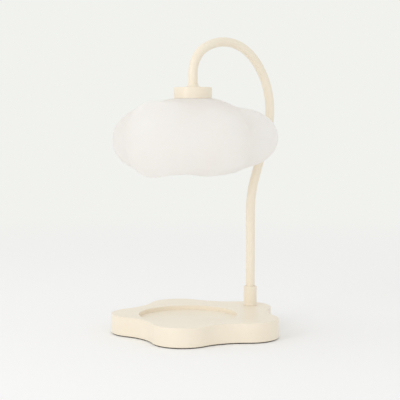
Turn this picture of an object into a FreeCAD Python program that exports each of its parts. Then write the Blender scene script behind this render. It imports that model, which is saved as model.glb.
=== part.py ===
import FreeCAD, Part
import math
import os
import re
import Sketcher

# Candle warmer lamp. A weighted, flower-shaped base has a round recess for a candle jar. An arched
# tube stands in a collar at the back, where it swivels between stops, and hangs a cloud-shaped glass
# shade with a twist-lock reflector bulb over the jar.
# Millimetres, +Z up. The origin is on the table under the middle of the recess, and +Y runs from
# there to the stem.

V = FreeCAD.Vector
doc = FreeCAD.newDocument("CandleWarmerLamp")
sheet = doc.addObject("Spreadsheet::Sheet", "Sizes")

DRIVING = {
    # base
    "flowerY": (14.5, "middle of the flower outline behind the recess"),
    "lobeRing": (61.0, "lobe centres from the middle of the flower"),
    "lobeRadius": (32.5, "round of each lobe"),
    "valleyRadius": (58.6, "hollow round between two lobes"),
    "padThick": (1.2, "foam pad under the base"),
    "padInset": (1.5, "pad inside the outline"),
    "baseHeight": (20.0, "painted base"),
    "baseEdge": (1.6, "rounding of the top edge"),
    "footEdge": (0.5, "rounding of the bottom edge"),
    "recessRadius": (52.0, "candle recess"),
    "recessDepth": (4.5, "candle recess"),
    "recessEdge": (0.8, "rounding of the recess rim"),
    "baseWall": (4.5, "wall of the hollow underside"),
    "coverLip": (2.0, "wall outside the cover"),
    "coverThick": (2.0, "bottom cover"),
    "coverGap": (0.2, "gap round the bottom cover"),
    "roofThick": (7.2, "top of the base over the hollow"),
    "wiringRadius": (20.0, "deeper hollow round the stem"),
    "wiringShift": (10.0, "its middle in front of the stem"),
    "wiringRoof": (4.0, "top of the base over that hollow"),
    "bossRing": (82.0, "cover screws from the middle of the flower"),
    "bossRadius": (3.6, "cover screw bosses"),
    "coverScrew": (1.5, "radius of the cover screws"),
    "coverScrewLong": (8.0, "pilot holes of the cover screws"),
    "weightInset": (12.0, "counterweight inside the outline"),
    "weightThick": (6.0, "counterweight"),
    "weightSlot": (52.0, "width of its opening for the wiring"),
    "weightSlotY": (46.0, "front of that opening"),
    "weightScrewRing": (70.0, "its screws from the middle of the flower"),
    "weightScrew": (2.0, "radius of its screws"),
    "weightScrewLong": (10.0, "pilot holes of its screws"),
    "bossGap": (0.8, "counterweight clear of the cover screw bosses"),
    "pilotSpare": (0.8, "pilot holes past the tips of their screws"),
    "panHead": (1.8, "radius of a pan head, in screw radii"),
    "sunkHead": (1.85, "radius of a countersunk head, in screw radii"),
    "sunkHigh": (0.8, "height of a countersunk head, in screw radii"),
    "driveSize": (0.65, "hexagon drive, in screw radii"),
    "driveDeep": (0.6, "depth of the drive, in screw radii"),
    "inletRadius": (4.1, "hole for the cord grommet"),
    "inletHeight": (8.8, "middle of that hole above the table"),
    "inletFlat": (0.7, "depth of the flats round that hole"),
    "cordRadius": (2.7, "bore of the grommet"),
    "grommetFlange": (5.8, "outer flange of the grommet"),
    "grommetInner": (4.9, "inner flange of the grommet"),
    "grommetLip": (1.6, "flange thickness"),
    "grommetBevel": (0.6, "bevel of the flanges"),
    "terminalWide": (16.0, "terminal block"),
    "terminalDeep": (13.0, "terminal block"),
    "terminalGap": (0.6, "terminal block above the cover"),
    "terminalFront": (30.0, "terminal block in front of the stem"),
    "poleSpread": (4.0, "poles of the block from its middle"),
    "poleHeight": (3.6, "poles above the foot of the block"),
    "poleRadius": (2.2, "bore of a pole"),
    "clampBore": (1.3, "bore of a brass clamp"),
    "clampLong": (9.0, "brass clamp"),
    "clampScrew": (1.7, "screw hole of a pole"),
    # stem and swivel
    "stemY": (88.5, "stem behind the middle of the recess"),
    "tubeRadius": (5.0, "stem tube"),
    "tubeWall": (1.0, "wall of the stem tube"),
    "collarRadius": (7.15, "collar"),
    "collarFoot": (7.5, "foot of the collar"),
    "collarFootHigh": (1.4, "height of that foot"),
    "collarEase": (0.4, "slope above that foot"),
    "collarHeight": (21.3, "collar above the base"),
    "collarEdge": (0.6, "rounding of the collar"),
    "socketDepth": (16.5, "socket for the tube in the collar"),
    "socketClear": (0.25, "gap round the tube in the socket"),
    "shankRadius": (5.0, "threaded shank of the collar"),
    "shankLong": (10.2, "shank below the top of the base"),
    "runClear": (0.08, "running gap of the swivel"),
    "fitClear": (0.05, "gap between fitted pieces"),
    "spigotRadius": (3.5, "swivel spigot"),
    "spigotBore": (2.6, "bore of the spigot"),
    "spigotPlug": (14.0, "spigot inside the tube"),
    "spigotTail": (0.74, "spigot below its clip"),
    "thrustThick": (0.8, "thrust washer under the tube"),
    "stemNutHigh": (3.5, "collar nut"),
    "stemNutRound": (8.1, "circumradius of the collar nut"),
    "stemWasherThick": (0.7, "washer under the collar nut"),
    "stemWasher": (9.5, "radius of that washer"),
    "stopPin": (0.7, "radius of the stop pin"),
    "stopShort": (0.2, "stop pin short of the outside of the shank"),
    "stopTurn": (45.0, "swivel each way"),
    "stopSlotHigh": (2.0, "slot in the shank for the stop pin"),
    "clipThick": (0.6, "retaining clip"),
    "clipRadius": (5.4, "retaining clip"),
    "clipGroove": (3.1, "groove for the clip"),
    "clipMouth": (4.6, "open mouth of the clip"),
    "springThick": (0.5, "friction washer above the clip"),
    "springRadius": (6.0, "friction washer"),
    "washerClear": (0.25, "gap in the bores of the loose washers"),
    "bendStart": (127.0, "straight foot of the stem ends at this height"),
    "leanRadius": (104.0, "first bend of the stem"),
    "leanTurn": (20.3, "lean of the stem after it"),
    "leanRun": (48.9, "straight leaning run"),
    "shoulderRadius": (79.2, "bend up to the arch"),
    "shoulderTurn": (67.2, "turn of that bend"),
    "crownTurn": (70.3, "turn of the top of the arch"),
    "dropRadius": (31.8, "last bend above the shade"),
    "leadRadius": (1.5, "lead inside the stem"),
    "leadClear": (0.3, "lead above the cover of the base"),
    "leadEnd": (1.0, "end of the lead above the floor of the socket's well"),
    # shade cap and holder
    "headY": (7.0, "shade axis behind the middle of the recess"),
    "headZ": (249.0, "top of the glass above the table"),
    "capRadius": (20.1, "shade cap"),
    "capHeight": (12.0, "shade cap"),
    "capWall": (1.6, "wall of the cap"),
    "capEdge": (0.7, "rounding of the cap"),
    "flareRadius": (7.75, "flared ferrule on the cap"),
    "flareHeight": (4.0, "flared ferrule"),
    "flareRim": (0.6, "rim at its foot"),
    "flareLip": (0.5, "lip at its top"),
    "tubeEnd": (3.5, "threaded tube end above the glass"),
    "starThick": (0.8, "toothed washer under the cap"),
    "sleeveNeck": (8.0, "threaded neck of the holder sleeve"),
    "sleeveNeckHigh": (3.6, "height of that neck"),
    "sleeveRadius": (15.2, "holder sleeve"),
    "sleeveWall": (1.7, "wall of the sleeve"),
    "sleeveTop": (2.0, "top plate of the sleeve"),
    "sleeveLong": (19.0, "sleeve from its top plate down"),
    "neckRadius": (15.6, "hole in the neck of the glass"),
    "gasketThick": (1.0, "gasket under the glass"),
    "gasketRadius": (19.2, "gasket"),
    "ringRadius": (19.6, "shade ring"),
    "ringThick": (4.0, "shade ring"),
    "ringClear": (0.15, "thread gap of the shade ring"),
    "ringGrip": (1.6, "radius of its grip notches"),
    "ringGrips": (12, "number of grip notches"),
    "socketLong": (24.0, "ceramic lamp socket"),
    "socketGap": (0.2, "gap round the lamp socket"),
    "socketWell": (6.0, "radius of the well above the socket"),
    "socketWellDeep": (3.0, "depth of that well"),
    "wireRoom": (6.8, "radius of the wiring room in the socket"),
    "wireRoomHigh": (6.0, "height of the wiring room"),
    "pinSpread": (5.0, "lamp pins from the axis"),
    "pinRadius": (1.5, "shank of a lamp pin"),
    "pinHead": (2.5, "head of a lamp pin"),
    "pinHeadHigh": (2.5, "height of a pin head"),
    "pinClear": (0.3, "gap round the lamp pins"),
    "keyThick": (5.0, "socket floor that the pins lock behind"),
    "keyRoom": (6.0, "height of the ring channel for the heads"),
    "twistTurn": (25.0, "twist that frees the bulb"),
    "contactThick": (0.8, "contact leaf"),
    "contactWide": (3.4, "contact leaf"),
    "contactLong": (4.4, "contact leaf"),
    "contactPost": (0.9, "radius of a contact post"),
    "postReach": (2.0, "contact posts into the wiring room"),
    "holderScrew": (1.4, "radius of the socket screws"),
    "holderScrewSunk": (1.0, "their heads inside the socket face"),
    "holderScrewSpread": (10.2, "socket screws from the axis"),
    # bulb
    "bulbGap": (0.3, "bulb below the socket face"),
    "bulbNeck": (13.2, "ceramic base of the bulb"),
    "bulbNeckHigh": (14.0, "ceramic base of the bulb"),
    "bulbBevel": (1.0, "bevel at its top"),
    "bulbCup": (3.0, "reflector inside the ceramic base"),
    "pinSunk": (7.0, "pins inside the ceramic base"),
    "capsuleSunk": (4.7, "capsule inside the ceramic base"),
    "bulbRadius": (25.0, "reflector rim"),
    "bulbLong": (48.0, "bulb without its pins"),
    "bulbRim": (4.0, "height of the reflector rim"),
    "bulbWall": (1.8, "reflector wall"),
    "bulbCurve": (46.0, "curve of the reflector"),
    "lensThick": (2.0, "front glass"),
    "lensInset": (1.0, "front glass inside the rim"),
    "capsuleRadius": (4.5, "lamp capsule"),
    "capsuleLong": (24.0, "lamp capsule"),
    # glass shade
    "glassWall": (3.0, "glass"),
    "glassSeat": (22.0, "flat seat under the cap"),
    "seatRise": (1.7, "that seat above the crown of the plain form"),
    "seatLift": (2.5, "glass round that seat lifted above the blended form"),
    "seatFade": (46.0, "radius where that lift has faded out"),
    "glassReach": (65.2, "half width of the plain form"),
    "glassTop": (45.8, "plain form above its middle"),
    "glassBelly": (35.4, "plain form below its middle"),
    "glassSquare": (2.74, "2 is an ellipse, more is squarer"),
    "glassBlend": (8.0, "softness of the creases between the puffs"),
    "mouthRadius": (44.0, "open mouth of the shade"),
}

# the puffs of the cloud: direction round the axis in degrees, middle out from the axis, half width,
# half height, and middle above that of the plain form
PUFFS = [
    (-139.3, 54.0, 33.1, 29.1, 4.5),
    (-83.8, 56.6, 27.0, 38.2, 4.9),
    (-68.3, 51.4, 33.8, 33.8, 6.0),
    (-15.6, 47.8, 36.9, 31.1, 3.1),
    (49.6, 56.7, 33.4, 28.1, 6.4),
    (104.0, 49.0, 35.0, 33.0, 0.0),
    (159.0, 49.0, 35.0, 33.0, 0.0),
]
PUFF_WORDS = ("Turn", "Out", "Wide", "Tall", "Rise")

# heights and places that follow from the driving sizes
DERIVED = {
    "baseTop": "(padThick + baseHeight)",
    "roofZ": "(baseTop - roofThick)",
    "wiringZ": "(baseTop - wiringRoof)",
    "wiringY": "(stemY - wiringShift)",
    "coverTop": "(padThick + coverThick)",
    "weightZ": "(roofZ - weightThick)",
    "tipY": "(flowerY + lobeRing + lobeRadius)",
    "collarTop": "(baseTop + collarHeight)",
    "socketZ": "(collarTop - socketDepth)",
    "shankZ": "(baseTop - shankLong)",
    "tubeZ": "(socketZ + thrustThick + runClear)",
    "stemNutZ": "(wiringZ - stemWasherThick - stemNutHigh)",
    "clipZ": "(shankZ - springThick - clipThick - 2 * runClear)",
    "spigotEnd": "(clipZ - spigotTail)",
    "leadBend": "(spigotEnd - coverTop - leadRadius - leadClear)",
    "glassMiddle": "(headZ - glassTop - seatRise)",
    "capTop": "(headZ + capHeight)",
    "capRoof": "(capTop - capWall)",
    "starZ": "(capRoof - starThick)",
    "neckZ": "(starZ - sleeveNeckHigh)",
    "plateZ": "(neckZ - sleeveTop)",
    "sleeveZ": "(neckZ - sleeveLong)",
    "gasketZ": "(headZ - glassWall - gasketThick)",
    "ringZ": "(gasketZ - ringThick)",
    "lampZ": "(plateZ - socketLong)",
    "channelZ": "(lampZ + keyThick)",
    "wireZ": "(plateZ - socketWellDeep - wireRoomHigh)",
    "leadTop": "(plateZ - socketWellDeep + leadEnd)",
    "bulbTop": "(lampZ - bulbGap)",
    "bulbZ": "(bulbTop - bulbLong)",
    "bulbBaseZ": "(bulbTop - bulbNeckHigh)",
    "pinHeadZ": "(channelZ + 2 * pinClear)",
    "inletInner": "(tipY - baseWall + inletFlat)",
    "inletOuter": "(tipY - inletFlat)",
    "terminalY": "(stemY - terminalFront)",
    "terminalZ": "(coverTop + terminalGap)",
}

LOBES = 5
LOBE_STEP = 360.0 / LOBES
REAR_LOBE = 90.0
SIDE_LOBES = [REAR_LOBE + LOBE_STEP * k for k in range(1, LOBES)]


def fill_sheet():
    """Write every driving size into the sheet with its alias and its meaning."""
    rows = list(DRIVING.items())
    for number, puff in enumerate(PUFFS, 1):
        for word, value in zip(PUFF_WORDS, puff):
            rows.append(("puff%d%s" % (number, word), (value, "puff %d of the cloud" % number)))
    for line, (alias, (value, meaning)) in enumerate(rows, 1):
        sheet.set("A%d" % line, alias)
        sheet.set("B%d" % line, str(value))
        sheet.set("C%d" % line, meaning)
        sheet.setAlias("B%d" % line, alias)
    doc.recompute()
    return {alias for alias, _ in rows}


ALIASES = fill_sheet()


def sized(text):
    """Turn a formula of plain size names into one that reads the sheet's cells."""
    text = str(text)
    follows = r"\b(%s)\b" % "|".join(DERIVED)
    while re.search(follows, text):
        text = re.sub(follows, lambda found: DERIVED[found.group()], text)
    return re.sub(r"\b(%s)\b" % "|".join(ALIASES), r"Sizes.\1", text)


def number(text):
    """The present value of a formula."""
    return float(sheet.evalExpression(sized(text)))


def place(thing, x="0", y="0", z="0"):
    """Bind the place of an object."""
    for axis, text in zip("xyz", (x, y, z)):
        if str(text) != "0":
            thing.setExpression(".Placement.Base." + axis, sized(text))
    return thing


nodes = []


def node(thing, label):
    """Name a finished piece and keep it for the export."""
    thing.Label = label
    nodes.append(thing)
    return thing


# ---- bodies and sketches ----

def new_body(name, x="0", y="0", z="0"):
    """An empty PartDesign body at a bound place."""
    return place(doc.addObject("PartDesign::Body", name), x, y, z)


def new_sketch(body, plane="XY_Plane", lift=None):
    """A sketch on one of the body's own planes, moved along its normal by a formula."""
    sketch = body.newObject("Sketcher::SketchObject", body.Name + "_sketch")
    sketch.AttachmentSupport = [(next(f for f in body.Origin.OriginFeatures if f.Role == plane), "")]
    sketch.MapMode = "FlatFace"
    if lift:
        sketch.setExpression(".AttachmentOffset.Base.z", sized(lift))
    return sketch


def hold(sketch, kind, *where, size=None):
    """Add one constraint, bound to a formula when it has a size."""
    if size is None:
        return sketch.addConstraint(Sketcher.Constraint(kind, *where))
    angle = kind == "Angle"
    value = math.radians(number(size)) if angle else number(size)
    index = sketch.addConstraint(Sketcher.Constraint(kind, *where, value))
    sketch.renameConstraint(index, "size%d" % index)
    sketch.setExpression(".Constraints.size%d" % index, sized(size))
    return index


def hold_point(sketch, geometry, end, x, y):
    """Fix one point of a sketch at two formulas."""
    if str(x) == "0":
        hold(sketch, "PointOnObject", geometry, end, -2)
    else:
        hold(sketch, "DistanceX", -1, 1, geometry, end, size=x)
    if str(y) == "0":
        hold(sketch, "PointOnObject", geometry, end, -1)
    else:
        hold(sketch, "DistanceY", -1, 1, geometry, end, size=y)


def draw_circle(sketch, radius, x="0", y="0"):
    """A circle with a bound radius and centre."""
    circle = Part.Circle(V(number(x), number(y), 0), V(0, 0, 1), number(radius))
    index = sketch.addGeometry(circle, False)
    hold(sketch, "Radius", index, size=radius)
    hold_point(sketch, index, 3, x, y)
    return index


def draw_outline(sketch, points, bows=None):
    """A closed outline through bound points. bows gives a radius to the side that starts at a point:
    positive bows to the right of the way along it, negative to the left."""
    bows = bows or {}
    spots = [V(number(x), number(y), 0) for x, y in points]
    sides = []
    for k, start in enumerate(spots):
        finish = spots[(k + 1) % len(spots)]
        if k not in bows:
            sides.append((sketch.addGeometry(Part.LineSegment(start, finish), False), 1, 2))
            continue
        sense, radius = bows[k]
        chord = finish - start
        half = chord.Length / 2
        right = V(chord.y, -chord.x, 0).normalize()
        centre = (start + finish) / 2 - right * sense * math.sqrt(number(radius) ** 2 - half ** 2)
        first, last = (start, finish) if sense > 0 else (finish, start)
        turn = [math.atan2(p.y - centre.y, p.x - centre.x) for p in (first, last)]
        if turn[1] < turn[0]:
            turn[1] += 2 * math.pi
        arc = Part.ArcOfCircle(Part.Circle(centre, V(0, 0, 1), number(radius)), *turn)
        index = sketch.addGeometry(arc, False)
        sides.append((index, 1, 2) if sense > 0 else (index, 2, 1))
        hold(sketch, "Radius", index, size=radius)
    for k, (index, start, finish) in enumerate(sides):
        following = sides[(k + 1) % len(sides)]
        hold(sketch, "Coincident", index, finish, following[0], following[1])
        hold_point(sketch, index, start, *points[k])
    return sides


def draw_flower(sketch, inset="0"):
    """The base outline: lobes joined by hollow rounds, all moved in by an inset."""
    radius = "lobeRadius - (%s)" % inset
    hollow = "valleyRadius + (%s)" % inset
    ring, lobe, valley = number("lobeRing"), number(radius), number(hollow)
    half = math.radians(LOBE_STEP / 2)
    # a valley arc touches its two lobes, so its centre is this far out
    reach = ring * math.cos(half) + math.sqrt((lobe + valley) ** 2 - (ring * math.sin(half)) ** 2)
    tilt = math.atan2(reach * math.sin(half), reach * math.cos(half) - ring)
    lobes, valleys = [], []
    for k in range(LOBES):
        turn = math.radians(REAR_LOBE + LOBE_STEP * k)
        middle = V(ring * math.cos(turn), ring * math.sin(turn), 0)
        arc = Part.ArcOfCircle(Part.Circle(middle, V(0, 0, 1), lobe), turn - tilt, turn + tilt)
        lobes.append(sketch.addGeometry(arc, False))
        turn += half
        middle = V(reach * math.cos(turn), reach * math.sin(turn), 0)
        spread = math.asin(ring * math.sin(half) / (lobe + valley))
        arc = Part.ArcOfCircle(Part.Circle(middle, V(0, 0, 1), valley), turn + math.pi - spread,
                               turn + math.pi + spread)
        valleys.append(sketch.addGeometry(arc, False))
    for k in range(LOBES):
        turn = REAR_LOBE + LOBE_STEP * k
        hold(sketch, "Tangent", lobes[k], 2, valleys[k], 2)
        hold(sketch, "Tangent", valleys[k], 1, lobes[(k + 1) % LOBES], 1)
        hold(sketch, "Radius", lobes[k], size=radius)
        hold(sketch, "Radius", valleys[k], size=hollow)
        hold(sketch, "DistanceX", -1, 1, lobes[k], 3, size="lobeRing * cos(%g)" % turn)
        hold(sketch, "DistanceY", -1, 1, lobes[k], 3, size="lobeRing * sin(%g)" % turn)


def pad(body, sketch, length):
    """Raise a sketch by a bound length."""
    feature = body.newObject("PartDesign::Pad", body.Name + "_pad")
    feature.Profile = sketch
    feature.setExpression("Length", sized(length))
    doc.recompute()
    return feature


def pocket(body, sketch, length=None, reverse=False):
    """Cut a sketch into the body, all the way through when no length is given."""
    before = body.Shape.Volume
    feature = body.newObject("PartDesign::Pocket", body.Name + "_pocket")
    feature.Profile = sketch
    feature.Reversed = reverse
    if length:
        feature.setExpression("Length", sized(length))
    else:
        feature.Type = "ThroughAll"
    doc.recompute()
    if body.Shape.Volume > before - 1e-3:
        raise RuntimeError("a pocket in %s cuts nothing" % body.Name)
    return feature


def turn(body, sketch, axis="V_Axis"):
    """Turn a closed profile round one of the axes of its sketch."""
    feature = body.newObject("PartDesign::Revolution", body.Name + "_turn")
    feature.Profile = sketch
    feature.ReferenceAxis = (sketch, [axis])
    feature.Angle = 360
    doc.recompute()


def turned(name, label, points, y="0", bows=None):
    """A piece turned round an upright axis from a closed profile of radius and height."""
    body = new_body(name, y=y)
    sketch = new_sketch(body, "XZ_Plane")
    draw_outline(sketch, points, bows)
    turn(body, sketch)
    return node(body, label)


def ring_points(inner, outer, low, high):
    """The profile of a plain ring."""
    return [(inner, low), (outer, low), (outer, high), (inner, high)]


def round_edges(body, pick, radius, kind="PartDesign::Fillet"):
    """Round or bevel the edges of the body's tip that pick chooses."""
    tip = body.Tip
    names = ["Edge%d" % (k + 1) for k, edge in enumerate(tip.Shape.Edges) if pick(edge)]
    feature = body.newObject(kind, body.Name + "_edge")
    feature.Base = (tip, names)
    feature.setExpression("Radius" if kind.endswith("Fillet") else "Size", sized(radius))
    doc.recompute()
    return feature


def level_edge(height, reach=None):
    """Picks edges that lie level at a height, and with a reach only those round the axis with that radius."""
    def pick(edge):
        box = edge.BoundBox
        if abs(box.ZMin - height) > 1e-4 or abs(box.ZMax - height) > 1e-4:
            return False
        return reach is None or (hasattr(edge.Curve, "Radius") and abs(edge.Curve.Radius - reach) < 1e-4)
    return pick


# ---- primitives ----

def cylinder(name, radius, height, x="0", y="0", z="0", sector=None):
    """A bound upright cylinder."""
    thing = doc.addObject("Part::Cylinder", name)
    thing.setExpression("Radius", sized(radius))
    thing.setExpression("Height", sized(height))
    if sector:
        thing.setExpression("Angle", sized(sector))
    return place(thing, x, y, z)


def cone(name, low, high, height, x="0", y="0", z="0"):
    """A bound upright cone."""
    thing = doc.addObject("Part::Cone", name)
    thing.setExpression("Radius1", sized(low))
    thing.setExpression("Radius2", sized(high))
    thing.setExpression("Height", sized(height))
    return place(thing, x, y, z)


def rod(name, radius, length, x="0", y="0", z="0"):
    """A bound cylinder that runs from its place towards -Y."""
    thing = cylinder(name, radius, length)
    thing.Placement = FreeCAD.Placement(V(), FreeCAD.Rotation(V(1, 0, 0), 90))
    return place(thing, x, y, z)


def box(name, length, width, height, x="0", y="0", z="0"):
    """A bound box, centred in X and Y on its place."""
    thing = doc.addObject("Part::Box", name)
    thing.setExpression("Length", sized(length))
    thing.setExpression("Width", sized(width))
    thing.setExpression("Height", sized(height))
    return place(thing, "%s - (%s) / 2" % (x, length), "%s - (%s) / 2" % (y, width), z)


def hexagon(name, radius, height, x="0", y="0", z="0"):
    """A bound hexagonal prism."""
    thing = doc.addObject("Part::Prism", name)
    thing.Polygon = 6
    thing.setExpression("Circumradius", sized(radius))
    thing.setExpression("Height", sized(height))
    return place(thing, x, y, z)


def joined(name, things):
    """The union of some pieces."""
    feature = doc.addObject("Part::MultiFuse", name)
    feature.Shapes = things
    return feature


def cut(name, base, tools):
    """A piece less some tools."""
    feature = doc.addObject("Part::Cut", name)
    feature.Base = base
    feature.Tool = tools[0] if len(tools) == 1 else joined(name + "_tools", tools)
    return feature


def group(name, things):
    """Separate solids that share a node."""
    feature = doc.addObject("Part::Compound", name)
    feature.Links = things
    return feature


def screw(name, size, length, x, y, z, sunk=False):
    """A screw that points up from its head at a place: a countersunk head, or a pan head below the place."""
    shank = cylinder(name + "Shank", size, length, x, y, z)
    if sunk:
        foot = z
        head = cone(name + "Head", size + " * sunkHead", size, size + " * sunkHigh", x, y, foot)
    else:
        foot = "%s - %s" % (z, size)
        head = cylinder(name + "Head", size + " * panHead", size, x, y, foot)
    drive = hexagon(name + "Drive", size + " * driveSize", size + " * driveDeep", x, y, foot)
    return cut(name, joined(name + "Blank", [shank, head]), [drive])


def on_ring(ring, turn, middle_y="flowerY"):
    """The X and Y formulas of a point on a ring round the middle of the flower."""
    return "%s * cos(%g)" % (ring, turn), "%s + %s * sin(%g)" % (middle_y, ring, turn)


# ---- base ----

def make_base_body():
    """Hollow painted flower with the candle recess, the collar hole, cover ledge and bosses."""
    body = new_body("Base", y="flowerY", z="padThick")
    outline = new_sketch(body)
    draw_flower(outline)
    pad(body, outline, "baseHeight")
    round_edges(body, level_edge(number("baseHeight")), "baseEdge")
    round_edges(body, level_edge(0.0), "footEdge")

    recess = new_sketch(body, lift="baseHeight")
    draw_circle(recess, "recessRadius", y="-flowerY")
    pocket(body, recess, "recessDepth")
    round_edges(body, level_edge(number("baseHeight"), number("recessRadius")), "recessEdge")

    hollow = new_sketch(body)
    draw_flower(hollow, "baseWall")
    pocket(body, hollow, "baseHeight - roofThick", reverse=True)
    ledge = new_sketch(body)
    draw_flower(ledge, "coverLip")
    pocket(body, ledge, "coverThick", reverse=True)
    wiring = new_sketch(body)
    draw_circle(wiring, "wiringRadius", y="wiringY - flowerY")
    pocket(body, wiring, "baseHeight - wiringRoof", reverse=True)

    collar_hole = new_sketch(body, lift="baseHeight")
    draw_circle(collar_hole, "shankRadius + fitClear", y="stemY - flowerY")
    pocket(body, collar_hole)

    bosses = new_sketch(body, lift="coverThick")
    for turn in SIDE_LOBES:
        draw_circle(bosses, "bossRadius", *on_ring("bossRing", turn, "0"))
    pad(body, bosses, "baseHeight - roofThick - coverThick")
    pilots = new_sketch(body)
    for turn in SIDE_LOBES:
        draw_circle(pilots, "coverScrew + fitClear", *on_ring("bossRing", turn, "0"))
    pocket(body, pilots, "coverThick + coverScrewLong", reverse=True)
    weight_pilots = new_sketch(body)
    for turn in SIDE_LOBES:
        draw_circle(weight_pilots, "weightScrew + fitClear", *on_ring("weightScrewRing", turn, "0"))
    pocket(body, weight_pilots, "weightZ - padThick + weightScrewLong", reverse=True)

    # the cord hole, with a flat round it inside and outside for the grommet's flanges
    for radius, start, finish in (
            ("inletRadius + fitClear", "wiringY", "tipY + baseWall"),
            ("grommetInner + fitClear", "wiringY", "inletInner"),
            ("grommetFlange + fitClear", "inletOuter", "tipY + baseWall")):
        inlet = new_sketch(body, "XZ_Plane", "flowerY - " + start)
        draw_circle(inlet, radius, y="inletHeight - padThick")
        pocket(body, inlet, "%s - %s" % (finish, start))
    return node(body, "base_body")


def make_base_cover():
    """Steel bottom plate with countersunk screw holes."""
    body = new_body("Cover", y="flowerY", z="padThick")
    outline = new_sketch(body)
    draw_flower(outline, "coverLip + coverGap")
    pad(body, outline, "coverThick")
    holes = new_sketch(body, lift="coverThick")
    for turn in SIDE_LOBES:
        draw_circle(holes, "coverScrew + coverGap", *on_ring("bossRing", turn, "0"))
    pocket(body, holes)
    round_edges(body, level_edge(0.0, number("coverScrew + coverGap")), "coverScrew * sunkHigh",
                "PartDesign::Chamfer")
    return node(body, "base_cover")


def make_foot_pad():
    """Foam pad glued under the cover."""
    body = new_body("Pad", y="flowerY")
    outline = new_sketch(body)
    draw_flower(outline, "padInset")
    pad(body, outline, "padThick")
    return node(body, "foot_pad")


def make_counterweight():
    """Steel slab screwed under the roof of the base, open at the back for the wiring."""
    body = new_body("Weight", y="flowerY", z="weightZ")
    outline = new_sketch(body)
    draw_flower(outline, "weightInset")
    pad(body, outline, "weightThick")
    slot = new_sketch(body, lift="weightThick")
    left, right = "-weightSlot / 2", "weightSlot / 2"
    front, back = "weightSlotY - flowerY", "lobeRing + lobeRadius"
    draw_outline(slot, [(left, front), (right, front), (right, back), (left, back)])
    pocket(body, slot)
    holes = new_sketch(body, lift="weightThick")
    for turn in SIDE_LOBES:
        draw_circle(holes, "weightScrew + coverGap", *on_ring("weightScrewRing", turn, "0"))
    pocket(body, holes)
    notches = new_sketch(body, lift="weightThick")
    for turn in SIDE_LOBES:
        draw_circle(notches, "bossRadius + bossGap", *on_ring("bossRing", turn, "0"))
    pocket(body, notches)
    return node(body, "counterweight")


def make_cover_screws():
    """Countersunk screws, heads flush with the cover."""
    screws = []
    for k, turn in enumerate(SIDE_LOBES, 1):
        x, y = on_ring("bossRing", turn)
        length = "coverThick + coverScrewLong - pilotSpare"
        screws.append(screw("CoverScrew%d" % k, "coverScrew", length, x, y, "padThick", sunk=True))
    return node(group("CoverScrews", screws), "cover_screws")


def make_weight_screws():
    """Pan-head screws that hold the counterweight."""
    screws = []
    for k, turn in enumerate(SIDE_LOBES, 1):
        x, y = on_ring("weightScrewRing", turn)
        length = "weightScrewLong - pilotSpare"
        screws.append(screw("WeightScrew%d" % k, "weightScrew", length, x, y, "weightZ"))
    return node(group("WeightScrews", screws), "weight_screws")


def make_grommet():
    """Rubber grommet in the back edge of the base, where a cord goes in."""
    body = new_body("Grommet", z="inletHeight")
    sketch = new_sketch(body, "YZ_Plane")
    draw_outline(sketch, [
        ("inletInner - grommetLip", "cordRadius"),
        ("inletOuter + grommetLip", "cordRadius"),
        ("inletOuter + grommetLip", "grommetFlange - grommetBevel"),
        ("inletOuter + grommetLip - grommetBevel", "grommetFlange"),
        ("inletOuter", "grommetFlange"),
        ("inletOuter", "inletRadius"),
        ("inletInner", "inletRadius"),
        ("inletInner", "grommetInner"),
        ("inletInner - grommetLip", "grommetInner - grommetBevel"),
    ])
    turn(body, sketch, "H_Axis")
    return node(body, "cord_grommet")


# ---- stem ----

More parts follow.
